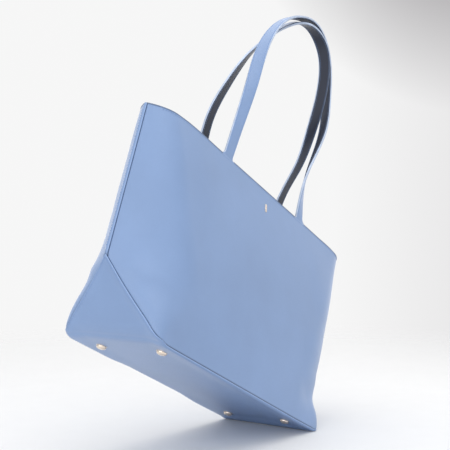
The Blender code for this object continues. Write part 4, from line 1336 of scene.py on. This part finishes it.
def make_strap_stitches(label, strap, side):
    build = Builder()
    run = np.linspace(0.0045, strap.length - 0.0045, 420)
    centre, across, outward = strap.frames(run)
    inner = strap.rise(run) > 0.009
    for sign in (-1, 1):
        place = sign * (STRAP_HALF - STITCH_INSET)
        crown = STRAP_CROWN * (place / STRAP_HALF) ** 2
        stitch_line(build, centre + across * place + outward * (STRAP_DEPTH / 2 - crown), outward)
        below = centre + across * place - outward * (STRAP_DEPTH / 2 - 0.00002)
        stitch_line(build, below[inner], -outward[inner])
    on_strap(build.finish(label + "_strap_stitches", (thread,), sharp=80.0), label, side, "blue_leather")


make_bag_stitches()
make_strap_stitches("front", front_strap, -1)
make_strap_stitches("back", back_strap, 1)


# Camera, floor and light: they are tipped, because the bag stands level here

UP = Vector((-0.4273, 0.0, 0.9041)).normalized()
FORWARD = Vector((0.7233, 0.5965, 0.3480)).normalized()
RIGHTWARD = Vector((0.5414, -0.8026, 0.2505))
SHADED_CORNER = (0.7067, 0.3609, 0.7865)
CAMERA_PLACE = (-0.9274, -0.7359, -0.2162)
FLOOR_RINGS = 12
FLOOR_RADIUS = 1.6
BAG_MIDDLE = Vector((0.0, 0.0, 0.2))


def make_camera():
    camera = linked("camera", bpy.data.cameras.new("camera"))
    right = (RIGHTWARD - FORWARD * RIGHTWARD.dot(FORWARD)).normalized()
    turn = Matrix((right, right.cross(FORWARD), -FORWARD)).transposed().to_4x4()
    camera.matrix_world = Matrix.Translation(CAMERA_PLACE) @ turn
    camera.data.sensor_width = 36.0
    camera.data.lens = 74.73
    camera.data.clip_start = 0.01
    camera.data.clip_end = 50.0
    bpy.context.scene.camera = camera


def make_floor():
    points = np.array([vertex.co for vertex in base_leather.data.vertices])
    centre = UP * float(np.min(points @ np.array(UP)))
    along = Vector((UP.z, 0.0, -UP.x))
    angle = circle(96)
    spokes = np.outer(np.cos(angle), along) + np.outer(np.sin(angle), UP.cross(along))
    build = Builder()
    index = build.add([np.array(centre) + spokes * (FLOOR_RADIUS * ring / FLOOR_RINGS)
                       for ring in range(1, FLOOR_RINGS + 1)])
    build.grid(index, close_columns=True)
    build.face(index[0])
    look = new_look("floor_paper")
    vector = look.space()
    item = build.finish("floor", (look.block,))
    flip = bmesh.new()
    flip.from_mesh(item.data)
    if sum(face.normal.dot(UP) for face in flip.faces) < 0.0:
        bmesh.ops.reverse_faces(flip, faces=flip.faces)
    flip.to_mesh(item.data)
    flip.free()
    distance = look.node("VectorMath", {"operation": "DISTANCE"}, _0=vector, _1=centre)["Value"]
    seen = look.math("SUBTRACT", 1.0, look.node("NewGeometry")["Backfacing"])
    paper = look.mixed(look.noise(vector, 30.0), (0.79, 0.79, 0.79, 1.0), (0.82, 0.82, 0.82, 1.0))
    look.shade(Base_Color=paper, Roughness=0.7, Specular_IOR_Level=0.2,
               Alpha=look.math("MULTIPLY", seen, look.spread(distance, 1.0, 0.0, 0.55, 1.5)))


def make_light(name, place, size, power):
    data = bpy.data.lights.new(name, "AREA")
    data.shape = "RECTANGLE"
    data.size = data.size_y = size
    data.energy = power
    item = linked(name, data)
    item.location = place
    item.rotation_euler = (BAG_MIDDLE - place).to_track_quat("-Z", "Y").to_euler()


def make_world():
    """A pale backdrop for the camera, with painted shade towards the right and round a shaded corner, and a
    brighter sky that lights the bag.
    """
    world = bpy.data.worlds.new("studio")
    bpy.context.scene.world = world
    look = Look(world)
    look.tree.nodes.clear()
    direction = look.node("TexCoord")["Generated"]

    def measured(operation, target):
        return look.node("VectorMath", {"operation": operation}, _0=direction,
                         _1=Vector(target).normalized())["Value"]

    # Painted shade on the backdrop: darker towards the right of the view and darker still round
    # SHADED_CORNER.
    backdrop = look.varied(measured("DOT_PRODUCT", RIGHTWARD), (0.925, 0.925, 0.925, 1.0),
                           (0.825, 0.820, 0.825, 1.0), 0.115, 0.236)
    backdrop = look.varied(measured("DISTANCE", SHADED_CORNER), (0.500, 0.490, 0.500, 1.0), backdrop,
                           0.147, 0.257)
    sky = look.varied(measured("DOT_PRODUCT", UP), (0.60, 0.61, 0.63, 1.0), (0.76, 0.76, 0.76, 1.0),
                      -0.1, 0.9)
    sky = look.varied(measured("DOT_PRODUCT", FORWARD), sky, (1.40, 1.40, 1.42, 1.0), 0.50, 0.95)
    mix = look.node("MixShader", _0=look.node("LightPath")["Is Camera Ray"],
                    _1=look.node("Background", Color=sky, Strength=1.15)[0],
                    _2=look.node("Background", Color=backdrop, Strength=1.0)[0])
    look.node("OutputWorld", Surface=mix[0])


make_camera()
make_floor()
make_world()
make_light("overhead", BAG_MIDDLE + UP * 1.5 + Vector((0.08, -0.20, 0.0)), 1.8, 11.5)
make_light("end_fill", BAG_MIDDLE + Vector((-1.5, -0.3, -0.45)), 1.6, 7.0)
make_light("front_fill", Vector((-1.0, -1.7, 0.40)), 2.2, 4.5)

bpy.context.scene.view_settings.view_transform = "Standard"
bpy.context.scene.view_settings.look = "None"
